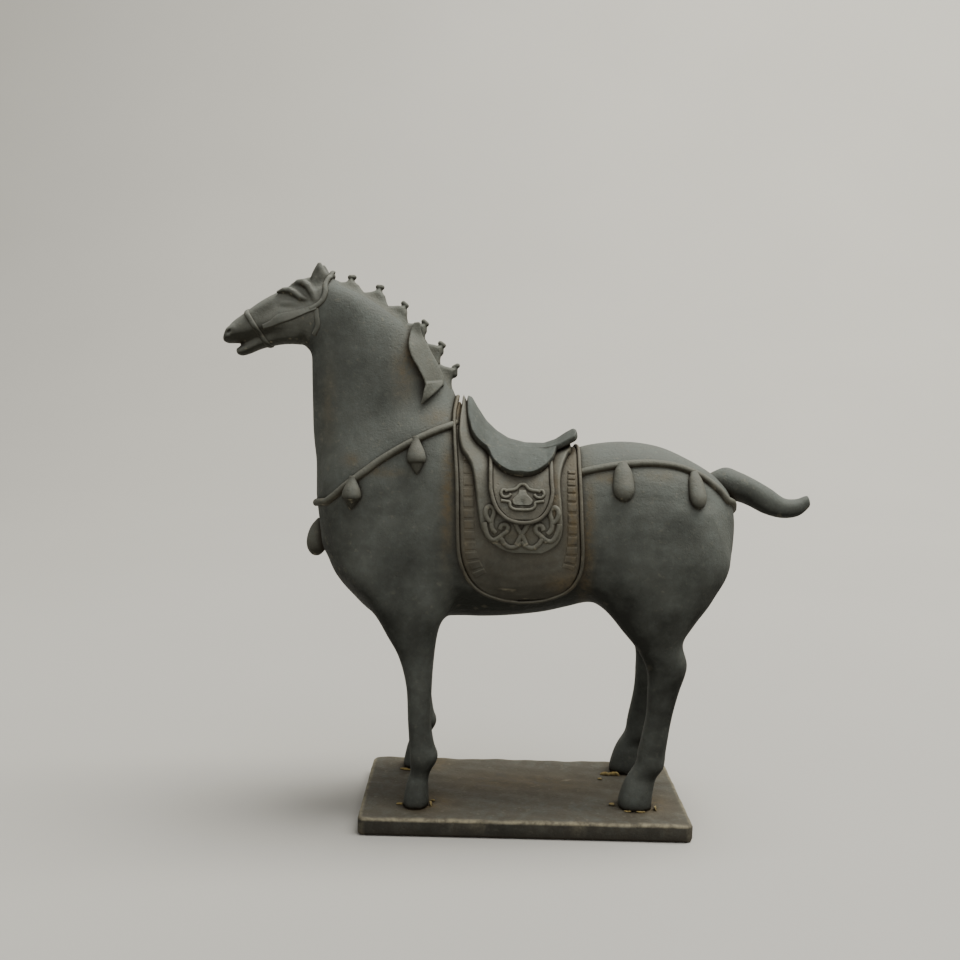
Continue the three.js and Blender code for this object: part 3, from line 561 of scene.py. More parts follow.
# ---------------------------------------------------------------------------------------------
# The head: cast apart and set on the neck, its joint hidden by the headstall. Finer than the body:
# a blunt muzzle with a short open mouth, hooded eyes under two combed strands of forelock, flat
# cheeks and short leaf-shaped ears.
JAW = [
    [-28.6, 60.0, -28.8, 57.6, 2.0], [-31.0, 59.2, -31.0, 57.3, 1.8], [-33.4, 58.2, -33.2, 56.75, 1.5],
    [-34.8, 57.5, -34.6, 56.15, 1.25], [-35.8, 57.0, -35.6, 55.85, 1.15], [-36.3, 56.7, -36.2, 56.0, 0.8],
]
head = Wax((-39.5, -5.5, 53), (-22.5, 5.5, 69), 0.13, reach=2.4)
head.field = melt(head.measure(limb(SKULL)), head.measure(limb(NECK)), THROAT_FILLET)
head.field = melt(head.field, head.measure(limb(JAW)), 0.9)
for s in (LEFT, RIGHT):
    # The cheek is dished between the strap and the nose, and again under the brow for the eye.
    head.field = scoop(head.field, head.egg((-33.2, s * 3.3, 61.0), (2.4, 1.1, 0.9), 0.5), 1.0)
    head.field = scoop(head.field, head.egg((-29.6, s * 3.75, 62.35), (1.9, 1.3, 0.85), -0.05), 0.7)
    head.field = melt(head.field, head.egg((-29.5, s * 2.35, 62.15), (0.95, 0.42, 0.42), -0.05), 0.5)
    lid = [(-31.0, s * 2.5, 62.1), (-30.5, s * 2.75, 62.75), (-29.7, s * 2.85, 62.95),
           (-28.9, s * 2.9, 62.75), (-28.3, s * 2.9, 62.2)]
    head.field = scoop(head.field, head.rod(lid, [0.05, 0.16, 0.2, 0.18, 0.08]), 0.25)
    pocket = [(-28.9, s * 2.65, 64.2), (-27.9, s * 2.95, 63.9), (-27.3, s * 3.1, 63.2),
              (-27.1, s * 3.1, 62.6)]
    head.field = scoop(head.field, head.rod(pocket, [0.2, 0.42, 0.42, 0.25]), 0.45)
    brow = [(-31.2, s * 1.9, 63.5), (-30.3, s * 2.3, 63.75), (-29.5, s * 2.5, 63.75),
            (-28.8, s * 2.65, 63.4), (-28.2, s * 2.75, 62.95), (-27.6, s * 2.75, 62.75)]
    head.field = melt(head.field, head.rod(brow, [0.1, 0.3, 0.36, 0.34, 0.28, 0.12]), 0.4)
    strand = [(-29.4, s * 1.3, 64.4), (-28.6, s * 1.9, 64.7), (-27.9, s * 2.35, 64.7),
              (-27.3, s * 2.65, 64.3), (-26.9, s * 2.8, 63.6), (-26.6, s * 2.8, 62.8)]
    head.field = melt(head.field, head.rod(strand, [0.15, 0.38, 0.42, 0.42, 0.34, 0.15]), 0.4)
    ear = limb([[-27.1, 64.6, -25.0, 64.4, 0.8, s * 1.35, s * 1.35],
                [-27.15, 65.5, -25.0, 65.5, 0.7, s * 1.5, s * 1.5],
                [-26.8, 66.3, -25.5, 66.4, 0.5, s * 1.6, s * 1.6],
                [-26.35, 67.1, -25.95, 67.15, 0.22, s * 1.65, s * 1.65]], square=2.0, around=24, along=40)
    head.field = melt(head.field, head.measure(ear), 0.5)
    head.field = scoop(head.field, head.egg((-26.6, s * 2.3, 65.9), (0.45, 0.4, 0.8), -0.25), 0.25)
    nostril = [(-36.45, s * 1.45, 59.0), (-36.95, s * 1.4, 58.75), (-37.1, s * 1.3, 58.35)]
    head.field = melt(head.field, head.rod(nostril, [0.3, 0.42, 0.35]), 0.5)
    head.field = scoop(head.field, head.egg((-36.95, s * 1.95, 58.65), (0.36, 0.34, 0.2), 0.8), 0.15)
head.field = melt(head.field, head.rod([(-25.0, 0, 65.3), (-24.7, 0, 65.6)], 0.55), 0.5)
for y in (-1.2, -0.4, 0.4, 1.2):
    gash = [(-38.4, y, 57.0), (-36.9, y, 57.05), (-35.9, y, 57.25), (-34.6, y * 1.3, 57.85),
            (-33.9, y * 1.5, 58.2)]
    head.field = scoop(head.field, head.rod(gash, [0.42, 0.3, 0.22, 0.12, 0.05]), 0.2)
whole_head = head.field
head.field = np.maximum(whole_head + DIVE * np.clip(seam(head), 0, None), seam(head) - SEAM_LAP)
head_bronze = patinated_bronze("head_patinated_bronze", "#74756e", "#26261f", rub=0.3)
piece("head_casting", [head.skin()], head_bronze, ["head"])
head.field = whole_head

# ---------------------------------------------------------------------------------------------
# The tail: a short S-bend set into the rump, smooth, with its tip turned up.
TAIL = [
    [21.6, 42.6, 22.2, 40.4, 1.2], [23.8, 43.6, 24.4, 39.5, 1.9], [25.6, 43.1, 25.6, 39.4, 1.8],
    [27.6, 42.2, 27.0, 38.9, 1.6], [29.6, 41.1, 28.9, 38.0, 1.4], [31.3, 40.0, 31.1, 37.5, 1.15],
    [32.8, 39.9, 33.1, 37.8, 0.95], [33.9, 40.3, 34.4, 38.9, 0.6], [34.2, 40.3, 34.5, 39.6, 0.3],
]
tail_shape = limb(TAIL, square=2.1, around=32, along=80)
piece("tail_casting", [tail_shape], dark_bronze, ["tail"])


# ---------------------------------------------------------------------------------------------
# The layers under the saddle: a long mudguard flap, a saddle cloth and a small apron on each side,
# each one sheet of metal over the back with a rounded lower end; the mudguard and the apron have a
# raised border.
SPINE = 36.0      # height of the line that the sheets are measured round
FLANK = 9.0       # about how far the sheets lie from it, to turn an angle into a length
SHADED = 0.8      # radians from the crest that the saddle covers


def over_back(x, turn, lift):
    """The skin at angle `turn` from straight up round the spine line: the outermost r where the point
    (x, r sin turn, SPINE + r cos turn) is `lift` above the skin."""
    x, turn, lift = np.broadcast_arrays(x, turn, lift)
    r = np.linspace(18, 5, 105)
    p = np.stack([np.broadcast_to(x[..., None], x.shape + r.shape), r * np.sin(turn)[..., None],
                  SPINE + r * np.cos(turn)[..., None]], -1)
    d = body.depth(p) - lift[..., None]
    k = np.clip(np.argmax(d < 0, axis=-1), 1, None)
    d0, d1 = (np.take_along_axis(d, (k - j)[..., None], -1)[..., 0] for j in (1, 0))
    t = np.clip(d0 / np.maximum(d0 - d1, 1e-6), 0, 1)
    r = r[k - 1] + t * (r[k] - r[k - 1])
    return np.stack([x, r * np.sin(turn), SPINE + r * np.cos(turn)], -1)


def edge_turns(edge, lift_at):
    """For side-view points of an edge, the angles round the back at which the sheet is that high."""
    edge = carry(edge, 60)
    turn = np.linspace(0, np.radians(150), 160)
    z = over_back(edge[:, :1], turn[None], lift_at(edge[:, :1], turn[None]))[..., 2]
    found = np.array([np.interp(-h, -row, turn) for h, row in zip(edge[:, 1], z)])
    return edge[:, 0], np.maximum.accumulate(found)


def draped(front, rear, inner, outer, rows=150, across=40, crown=0.35):
    """A sheet over the back between two edges, both ending at the flap's lowest point. Row v is the
    angle end * (1 - (1 - v)^2) on each side, and a ring runs over the sheet at `outer` and back
    under it at `inner`, with the edges rounded over the `crown` width."""
    fx, ft = edge_turns(front, outer)
    rx, rt = edge_turns(rear, outer)
    end = max(ft[-1], rt[-1])
    v = np.linspace(0, 1, rows)
    turn = end * (1 - (1 - v) ** 2)
    x0 = np.interp(turn, np.append(ft[:-1], end), fx)
    x1 = np.interp(turn, np.append(rt[:-1], end), rx)
    turn = np.concatenate([-turn[:0:-1], turn])
    x0, x1 = (np.concatenate([x[:0:-1], x]) for x in (x0, x1))
    u = np.linspace(0, 1, across)
    wide = np.maximum(x1 - x0, 1e-3)
    x = x0[:, None] + wide[:, None] * (1 - np.cos(np.pi * u)) / 2
    side_room = np.minimum(x - x0[:, None], x1[:, None] - x)
    end_room = ((end - np.abs(turn)) * FLANK)[:, None]
    room = np.clip(np.minimum(side_room, end_room) / crown, 0, 1)
    high = np.sqrt(1 - (1 - room) ** 2)
    turns = np.broadcast_to(turn[:, None], x.shape)
    low = inner(x, turns) if callable(inner) else np.full(x.shape, inner)
    top = over_back(x, turns, low + (outer(x, turns) - low) * high)
    under = over_back(x, turns, low)
    return tube(np.concatenate([top, under[:, ::-1][:, 1:-1]], 1)), (x0, x1, turn)


def laid(wax, route, width, height, base=0.0, inset=0.0, loop=False, sink=0.25, around=12,
         steps=120):
    """A raised band on a wax: along the route, P(u, v) = skin point + across * (inset + width / 2 cos v),
    lifted by base + height * sin(v)^0.7 above and sunk a little below."""
    route = np.asarray(route, float)
    closed = np.concatenate([route, route[:1]]) if loop else route
    run = np.concatenate([[0], np.cumsum(np.linalg.norm(np.diff(closed, axis=0), axis=1))])
    at = np.linspace(0, run[-1], steps, endpoint=not loop)
    line = np.stack([np.interp(at, run, closed[:, k]) for k in range(3)], -1)
    if callable(base):
        base = base(line[:, 0], np.arctan2(line[:, 1], line[:, 2] - SPINE))
    line = wax.settle(line, base)
    if loop:
        ahead = np.roll(line, -1, 0) - np.roll(line, 1, 0)
    else:
        ahead = np.gradient(line, axis=0)
    ahead /= np.linalg.norm(ahead, axis=1, keepdims=True)
    over = np.cross(ahead, wax.slope(line))
    a = np.linspace(0, 2 * np.pi, around, endpoint=False)
    rise = np.where(np.sin(a) > 0, np.abs(np.sin(a)) ** 0.7, 0.0)
    wide, tall, shift, level = (np.broadcast_to(q, steps)[:, None] for q in (width, height, inset, base))
    aside = shift + wide / 2 * np.cos(a)
    lift = level + tall * rise - sink * (np.sin(a) < -0.01)
    grid = wax.settle(line[:, None] + over[:, None] * aside[..., None], lift)
    return tube(grid, loop)


def border(edges, base, width, height, inset):
    """The raised border: one closed band round a sheet's whole edge, over the back and down both
    sides."""
    x0, x1, turn = edges
    x = np.concatenate([x0, x1[::-1]])
    t = np.concatenate([turn, turn[::-1]])
    return laid(body, over_back(x, t, base(x, t)), width, height, base, inset, loop=True, steps=420)


def tucked(height, dip):
    """A sheet's height: steady at the sides, and lower by the dip where it runs under the saddle."""
    return lambda x, turn: height - dip * np.clip(1 - np.abs(turn) / SHADED, 0, 1) + 0 * x


MUDGUARD_FRONT = [[-8.9, 53.5], [-9.2, 51.6], [-9.5, 49.4], [-9.3, 46.5], [-8.9, 41.4], [-8.7, 36.1],
                  [-8.4, 32.9], [-7.4, 30.4], [-5.8, 28.8], [-3.5, 27.9], [-1.4, 27.6]]
MUDGUARD_REAR = [[5.3, 50.0], [5.4, 46.5], [5.3, 43.5], [5.5, 38.2], [5.8, 33.2], [5.4, 30.7],
                 [4.2, 29.0], [2.1, 28.0], [0.4, 27.65], [-1.4, 27.6]]
CLOTH_FRONT = [[-8.75, 51.2], [-8.95, 49.5], [-8.95, 47.4], [-8.5, 45.8], [-7.75, 44.7], [-7.25, 43.5],
               [-6.9, 41.5], [-6.5, 38.6], [-6.0, 36.3], [-4.9, 34.9], [-3.3, 34.0], [-0.9, 33.6]]
CLOTH_REAR = [[4.9, 50.0], [4.7, 46.3], [4.1, 45.4], [3.4, 43.9], [3.1, 42.0], [3.3, 39.1],
              [3.4, 36.4], [2.9, 34.9], [1.6, 34.0], [0.3, 33.65], [-0.9, 33.6]]
APRON_FRONT = [[-5.0, 50.0], [-5.0, 42.3], [-4.8, 40.5], [-4.2, 39.0], [-3.2, 38.0], [-2.2, 37.6],
               [-1.3, 37.5]]
APRON_REAR = [[1.9, 49.0], [1.9, 42.6], [2.0, 40.8], [1.6, 39.2], [0.8, 38.1], [-0.3, 37.6], [-1.3, 37.5]]
MUDGUARD_UP, CLOTH_UP, APRON_UP = 0.6, 1.4, 1.95

flap_bronze = patinated_bronze("harness_patinated_bronze", "#67645a", "#2e2c25", rub=0.25)
relief_bronze = patinated_bronze("relief_patinated_bronze", "#6c6b62", "#35342c", rub=0.4)
MUDGUARD_DIP, CLOTH_DIP, APRON_DIP = 0.35, 0.45, 1.1    # how much lower each lies under the saddle
mudguard, mudguard_edges = draped(MUDGUARD_FRONT, MUDGUARD_REAR, -0.3, tucked(MUDGUARD_UP, MUDGUARD_DIP))
cloth, _ = draped(CLOTH_FRONT, CLOTH_REAR, tucked(0.45, CLOTH_DIP), tucked(CLOTH_UP, CLOTH_DIP),
                  crown=0.25)
apron, apron_edges = draped(APRON_FRONT, APRON_REAR, tucked(APRON_UP - 0.5, APRON_DIP),
                            tucked(APRON_UP, APRON_DIP))
mudguard_rim = border(mudguard_edges, tucked(MUDGUARD_UP, MUDGUARD_DIP), 0.4, 0.2, -0.08)
apron_rim = border(apron_edges, tucked(APRON_UP + 0.02, APRON_DIP), 0.45, 0.16, -0.1)
band_wax = spots((-7.7, 38.0, 0.6, 8.0, 0.45), (4.6, 38.0, 0.7, 8.0, 0.85), (3.6, 30.2, 1.6, 1.0, 0.5),
                 (-8.7, 50.6, 0.8, 1.6, 0.9))
piece("mudguard_sheet", [mudguard, mudguard_rim], flap_bronze, ["mudguard"],
      {"residue": band_wax})
piece("saddle_cloth_sheet", [cloth], relief_bronze, ["saddle_cloth"],
      {"residue": spots((2.5, 40.0, 0.5, 3.5, 0.7), (-1.4, 36.0, 2.5, 0.8, 0.3))})
piece("apron_sheet", [apron, apron_rim], flap_bronze, ["saddle_apron"])

# ---------------------------------------------------------------------------------------------
# The relief on the flaps: a cloud scroll on the apron, vines on the saddle cloth, and a border of
# blocks round the mudguard. All were cut into the wax by hand, so they are a little uneven.
def on_sheet(route, side, lift):
    """A smooth line through side-view points, brought on to one side at a height over the skin."""
    line = carry(route, 12 * len(route))
    return body.beside(line[:, 0], line[:, 1], side, lift)


def patch(wax, one_edge, other_edge, side, base, height, crown, sink=0.15, along=40, across=12):
    """A raised patch between two side-view edges. Its lift is base + height * sqrt(1 - (1 - room)^2),
    room being the distance to the nearest edge over the crown width, at most 1. height may be
    worked out from u across and v along."""
    a, b = carry(one_edge, along), carry(other_edge, along)
    u = (1 - np.cos(np.pi * np.linspace(0, 1, across))) / 2
    v = np.linspace(0, 1, along)
    place = a[:, None] + (b - a)[:, None] * u[None, :, None]
    wide = np.linalg.norm(b - a, axis=1)[:, None]
    run = np.linalg.norm(np.diff((a + b) / 2, axis=0), axis=1).sum()
    room = np.minimum(np.minimum(u, 1 - u) * wide, (np.minimum(v, 1 - v) * run)[:, None])
    high = np.sqrt(1 - (1 - np.clip(room / crown, 0, 1)) ** 2)
    tall = height(u[None], v[:, None]) if callable(height) else height
    top = wax.beside(place[..., 0], place[..., 1], side, base + tall * high)
    under = wax.beside(place[..., 0], place[..., 1], side, np.full(high.shape, base - sink))
    return tube(np.concatenate([top, under[:, ::-1][:, 1:-1]], 1))


FLAP_MIDDLE = -1.37
CLOUD = [   # line, width: half of a mirrored figure, x measured from its middle
    ([(0.0, 41.65), (0.35, 41.55), (0.75, 41.15), (1.2, 41.0), (1.75, 40.95), (2.05, 40.85)], 0.34),
    ([(1.35, 40.55), (1.7, 40.25), (2.2, 40.25), (2.5, 40.6), (2.35, 41.0), (1.95, 41.0)], 0.3),
    ([(2.5, 39.85), (2.0, 39.78), (1.5, 39.65), (1.4, 39.2), (0.95, 38.9), (0.0, 38.83)], 0.3),
]
SEED_LEFT = [(-1.8, 41.1), (-1.95, 40.65), (-2.3, 40.3), (-2.6, 39.95), (-2.5, 39.55), (-2.1, 39.4)]
SEED_RIGHT = [(-0.94, 41.1), (-0.8, 40.65), (-0.45, 40.3), (-0.15, 39.95), (-0.25, 39.55), (-0.65, 39.4)]
VINE = [
    ([(3.5, 37.3), (3.95, 37.7), (4.2, 38.3), (4.1, 38.9), (3.7, 39.15), (3.3, 38.85), (3.25, 38.3),
      (3.45, 37.7), (3.5, 37.0), (3.35, 36.5), (3.0, 36.1)], 0.34),
    ([(4.3, 37.3), (4.2, 36.6), (3.9, 35.8), (3.5, 35.35), (3.0, 35.35), (2.45, 35.7), (2.1, 36.0),
      (1.7, 36.3), (1.6, 36.8), (1.9, 37.1), (2.35, 36.95), (2.5, 36.5)], 0.34),
    ([(2.95, 35.2), (2.45, 35.55), (2.0, 34.9), (1.35, 34.48), (0.6, 34.6), (0.0, 35.15)], 0.34),
    ([(0.72, 37.25), (0.38, 36.55), (0.0, 35.95)], 0.36),
    ([(0.0, 36.0), (0.32, 35.35), (0.6, 34.75)], 0.34),
]
RELIEF = 0.28


def mirrored(figure, base, widths):
    """Beads for both halves of a figure on both sides of the horse."""
    beads = []
    for side in (LEFT, RIGHT):
        for hand in (-1, 1):
            for line, width in figure:
                route = on_sheet([(FLAP_MIDDLE + hand * x, z) for x, z in line], side, base)
                beads.append(laid(body, route, width * widths, RELIEF, base, sink=0.12, around=10,
                                  steps=10 * len(line)))
    return beads


def blocks(inner, outer, cells, gap, base, height):
    """A row of pillow-shaped blocks between two side-view lines, on both sides of the horse."""
    shapes = []
    marks = np.linspace(0, 1, cells + 1)
    a, b = carry(inner, 40 * cells + 1), carry(outer, 40 * cells + 1)
    for side in (LEFT, RIGHT):
        for k in range(cells):
            rows = slice(int(40 * k + 20 * gap), int(40 * (k + 1) - 20 * gap) + 1)
            shapes.append(patch(body, a[rows][::6], b[rows][::6], side, base, height, crown=0.14,
                                sink=0.1, along=9, across=9))
    return shapes


FRONT_BLOCKS = ([(-7.0, 45.2), (-6.95, 42.0), (-6.9, 39.0), (-6.75, 36.0), (-6.3, 33.2), (-5.2, 31.2)],
                [(-8.35, 45.2), (-8.3, 42.0), (-8.2, 39.0), (-8.05, 36.0), (-7.8, 33.0), (-6.6, 30.3)])
REAR_BLOCKS = ([(3.5, 32.1), (3.9, 34.0), (4.0, 37.0), (3.9, 40.0), (3.9, 42.0), (4.0, 43.3)],
               [(4.95, 31.6), (5.2, 34.0), (5.1, 37.0), (4.95, 40.0), (4.85, 42.0), (4.85, 43.3)])


def notched(u, v):
    """The seed's height, with one notch up the middle of its foot."""
    return 0.24 - 0.14 * np.exp(-((u - 0.5) / 0.13) ** 2 - ((v - 1.0) / 0.45) ** 4)


seeds = [patch(body, SEED_LEFT, SEED_RIGHT, side, APRON_UP, notched, crown=0.2, across=32)
         for side in (LEFT, RIGHT)]
piece("apron_scroll", mirrored(CLOUD, APRON_UP, 1.35) + seeds, relief_bronze, ["saddle_apron"])
piece("cloth_vine", mirrored(VINE, CLOTH_UP, 1.85), relief_bronze, ["saddle_cloth"])
block_rows = (blocks(*FRONT_BLOCKS, 12, 0.05, MUDGUARD_UP - 0.03, 0.07)
              + blocks(*REAR_BLOCKS, 12, 0.07, MUDGUARD_UP - 0.03, 0.13))
piece("mudguard_blocks", block_rows, flap_bronze, ["mudguard"], {"residue": band_wax})

# ---------------------------------------------------------------------------------------------
# The saddle: a hollow shell from a high rounded pommel through a dipped seat to a flared cantle,
# its skirts hanging in a crescent and standing clear of the apron.
SADDLE_TOP = [[-8.35, 51.3], [-8.0, 51.7], [-7.5, 51.5], [-6.85, 50.4], [-5.7, 48.7], [-4.4, 47.5],
              [-2.9, 46.6], [-0.8, 46.1], [1.5, 46.1], [2.9, 46.6], [4.2, 47.5], [5.0, 47.95],
              [5.7, 47.7]]
SADDLE_FRONT = [[-8.2, 51.6], [-8.25, 50.8], [-8.0, 49.3], [-7.4, 47.8], [-6.6, 46.75], [-5.9, 46.2],
                [-5.45, 45.6], [-5.1, 44.9], [-4.4, 44.1], [-3.0, 43.35], [-1.4, 43.1]]
SADDLE_REAR = [[5.6, 47.9], [4.9, 47.3], [3.6, 46.6], [2.8, 46.0], [2.5, 45.4], [2.1, 44.8], [1.3, 44.0],
               [0.0, 43.3], [-1.4, 43.1]]
SKIRT_UP, SKIRT_FLARE, SADDLE_THICK = 2.95, 1.2, 0.7


def saddle_lift(x, turn):
    """From the crest profile on top, turning as exp(-(turn / SHADED)^2) into the skirts' own height,
    which where the crest is low is only reached by SKIRT_FLARE for each radian further round."""
    x, turn = np.broadcast_arrays(x, turn)
    top = np.array(SADDLE_TOP)
    z = np.interp(x, top[:, 0], top[:, 1])
    crest = body.depth(np.stack([x, 0 * x, z], -1))
    skirt = np.minimum(SKIRT_UP, crest + SKIRT_FLARE * np.abs(turn))
    return skirt + (crest - skirt) * np.exp(-(turn / SHADED) ** 2)


def saddle_under(x, turn):
    """The shell's inside: a steady thickness below its top."""
    return saddle_lift(x, turn) - SADDLE_THICK


saddle_bronze = patinated_bronze("saddle_patinated_bronze", "#4f534f", "#34352f", rub=0.4)
saddle, _ = draped(SADDLE_FRONT, SADDLE_REAR, saddle_under, saddle_lift, crown=0.22, rows=120, across=60)
piece("saddle_shell", [saddle], saddle_bronze, ["saddle"])

# ---------------------------------------------------------------------------------------------
# The straps: half-round bands across the chest and under the tail, cast proud of the body.
BREAST = [[-9.3, 48.4], [-9.8, 48.2], [-12.2, 47.3], [-15.1, 45.8], [-18.0, 44.0], [-20.2, 42.3],
          [-22.0, 40.9], [-23.3, 39.7], [-24.4, 38.8]]
CRUPPER = [[5.6, 43.0], [6.3, 43.2], [8.0, 43.6], [10.0, 43.95], [12.2, 44.2], [14.2, 44.25],
           [16.4, 44.0], [18.5, 43.4], [20.6, 42.4], [22.3, 41.1], [23.4, 39.9]]
CHEST_MIDDLE, DOCK = (-26.0, 0, 38.1), (25.2, 0, 38.3)
STRAP_WIDE, STRAP_HIGH = 0.9, 0.55
worn_bronze = patinated_bronze("worn_harness_bronze", "#66665e", "#28271f", rub=0.35)


def strap(line, middle):
    """A strap down the left side, through the middle point and up the right side."""
    line = carry(line, 60)
    sides = [body.beside(line[:, 0], line[:, 1], side) for side in (LEFT, RIGHT)]
    route = np.concatenate([sides[0], body.settle(np.array([middle], float), 0.0), sides[1][::-1]])
    return laid(body, route, STRAP_WIDE, STRAP_HIGH, steps=220)


piece("breast_strap_band", [strap(BREAST, CHEST_MIDDLE)], worn_bronze, ["breast_strap"])
piece("crupper_strap_band", [strap(CRUPPER, DOCK)], worn_bronze, ["crupper_strap"])

# ---------------------------------------------------------------------------------------------
# The tassels: cast knops that hang from the straps. Those on the chest are bells over a sharp cone,
# those on the quarters are long rounded pills, and a bulb hangs in the middle of the chest.
BELL = [(0.0, 0.4), (0.1, 0.46), (0.22, 0.66), (0.34, 0.9), (0.48, 1.08), (0.6, 1.12), (0.68, 1.0),
        (0.72, 0.8), (0.8, 0.6), (0.9, 0.36), (0.97, 0.14), (1.0, 0.0)]
PILL = [(0.0, 0.5), (0.1, 0.72), (0.24, 1.0), (0.45, 1.15), (0.68, 1.2), (0.82, 1.05), (0.92, 0.75),
        (0.98, 0.36), (1.0, 0.0)]
BULB = [(0.0, 0.15), (0.06, 0.35), (0.2, 0.75), (0.4, 1.05), (0.62, 1.15), (0.8, 1.0), (0.92, 0.68),
        (0.98, 0.35), (1.0, 0.0)]


def knop(profile, top, foot, out, girth, flat=0.8):
    """Turns a profile of (share of the way down, radius) round the line from top to foot."""
    rows = carry(profile, 40)
    top, foot = np.array(top, float), np.array(foot, float)
    v = np.linspace(0, 2 * np.pi, 28, endpoint=False)
    down = (foot - top) / np.linalg.norm(foot - top)
    side = np.cross(down, out)
    side /= np.linalg.norm(side)
    ahead = np.cross(side, down)
    r = np.clip(rows[:, 1], 0.01, None)[:, None, None] * girth
    ring = np.cos(v)[:, None] * side + flat * np.sin(v)[:, None] * ahead
    return tube((top + (foot - top) * rows[:, :1])[:, None] + r * ring)


TASSELS = {   # profile, side-view top and foot, girth
    "shoulder": (BELL, (-13.95, 46.9), (-13.67, 42.5), 1.0),
    "chest": (BELL, (-21.2, 42.1), (-21.36, 38.15), 1.05),
    "hip": (PILL, (10.4, 44.3), (10.5, 39.95), 1.05),
    "rump": (PILL, (19.1, 43.3), (19.5, 39.25), 0.9),
}
for side, word in ((LEFT, "left"), (RIGHT, "right")):
    for name, (profile, top, foot, girth) in TASSELS.items():
        ends = body.beside(np.array([top[0], foot[0]]), np.array([top[1], foot[1]]), side,
                           np.array([0.35, 0.45]))
        out = body.slope(ends.mean(0))
        piece(f"tassel_{name}_{word}_knop", [knop(profile, ends[0], ends[1], out, girth)], worn_bronze,
              [f"tassel_{name}_{word}"])
front_bulb = knop(BULB, (-26.1, 0, 36.1), (-26.5, 0, 31.4), (-1, 0, 0), girth=1.12, flat=1.0)
piece("tassel_front_bulb", [front_bulb], worn_bronze, ["tassel_front"])

# ---------------------------------------------------------------------------------------------
# The bridle: a noseband round the muzzle, flat cheek straps, a headstall behind the ears.
def ring_round(wax, middle, lean):
    """Points round a limb: from the middle, the outermost skin along lean cos t + y sin t."""
    count = 90
    t = np.linspace(0, 2 * np.pi, count, endpoint=False)
    lean = np.array(lean, float) / np.linalg.norm(lean)
    way = np.cos(t)[:, None] * lean + np.sin(t)[:, None] * np.array([0, 1.0, 0])
    r = np.linspace(6, 0.3, 115)
    p = np.array(middle, float) + way[:, None] * r[:, None]
    k = np.clip(np.argmax(wax.depth(p) < 0, axis=1), 1, None)
    return wax.settle(p[np.arange(count), k], 0.0)


nose_ring = ring_round(head, (-33.95, 0, 59.6), (-0.566, 0, 0.824))
noseband = laid(head, nose_ring, 0.66, 0.17, loop=True, steps=160)
piece("noseband_strap", [noseband], head_bronze, ["noseband"])


def shelved(u, v):
    """The cheek strap's height: level with the cheek at its upper edge, 0.3 at its lower."""
    return 0.04 + 0.26 * u + 0 * v


CHEEK_TOP = [(-32.9, 59.55), (-31.8, 60.1), (-30.9, 60.8), (-29.0, 61.3), (-27.0, 61.95), (-26.3, 62.3)]
CHEEK_FOOT = [(-32.7, 59.0), (-31.6, 59.25), (-30.6, 59.65), (-29.0, 60.25), (-27.4, 61.0),
              (-26.2, 61.45)]
for side, word in ((LEFT, "left"), (RIGHT, "right")):
    band = patch(head, CHEEK_TOP, CHEEK_FOOT, side, 0.0, shelved, crown=0.15, along=60)
    piece(f"cheek_strap_{word}_band", [band], head_bronze, [f"cheek_strap_{word}"])
HEADSTALL = [(-24.9, 65.6), (-25.3, 64.5), (-25.25, 63.6), (-25.5, 62.7), (-26.2, 61.95), (-27.0, 61.5)]
THROAT = [(-26.3, 61.6), (-26.2, 60.6), (-26.1, 59.6), (-26.6, 58.5)]
line = carry(HEADSTALL, 40)
over = [head.beside(line[:, 0], line[:, 1], side) for side in (LEFT, RIGHT)]
crown_piece = np.concatenate([over[0][::-1], head.settle(np.array([[-24.7, 0, 66.4]]), 0.0), over[1]])
throat_lash = [laid(head, head.beside(*carry(THROAT, 20).T, side), 0.6, 0.15, steps=40)
               for side in (LEFT, RIGHT)]
piece("headstall_strap", [laid(head, crown_piece, 0.62, 0.22, steps=160), *throat_lash], head_bronze,
      ["headstall"])

# ---------------------------------------------------------------------------------------------
# The mane: six clipped tufts stepping down the crest, each with a small tied knob at its rear corner,
# and a long lock on each side that ends in a folded point.
TUFTS = [   # along the top: front foot, shoulder, knob, rear shoulder, heel; how far the knob leans
    [(-24.3, 64.35), (-23.3, 64.85), (-22.4, 65.6), (-21.6, 64.7), (-21.0, 63.6), 0.0],
    [(-20.8, 63.65), (-19.7, 64.0), (-19.0, 64.5), (-18.4, 63.5), (-18.1, 62.2), 0.1],
    [(-17.8, 62.2), (-16.7, 62.35), (-15.95, 62.5), (-15.7, 61.5), (-15.65, 60.1), 0.7],
    [(-15.6, 60.1), (-14.4, 60.35), (-13.45, 60.35), (-13.4, 59.4), (-13.5, 57.9), 0.7],
    [(-13.5, 57.9), (-12.3, 57.75), (-11.35, 57.8), (-11.4, 56.9), (-11.6, 55.5), 0.6],
    [(-11.6, 55.3), (-10.4, 55.05), (-9.6, 55.15), (-9.9, 54.1), (-10.3, 52.7), -0.5],
]
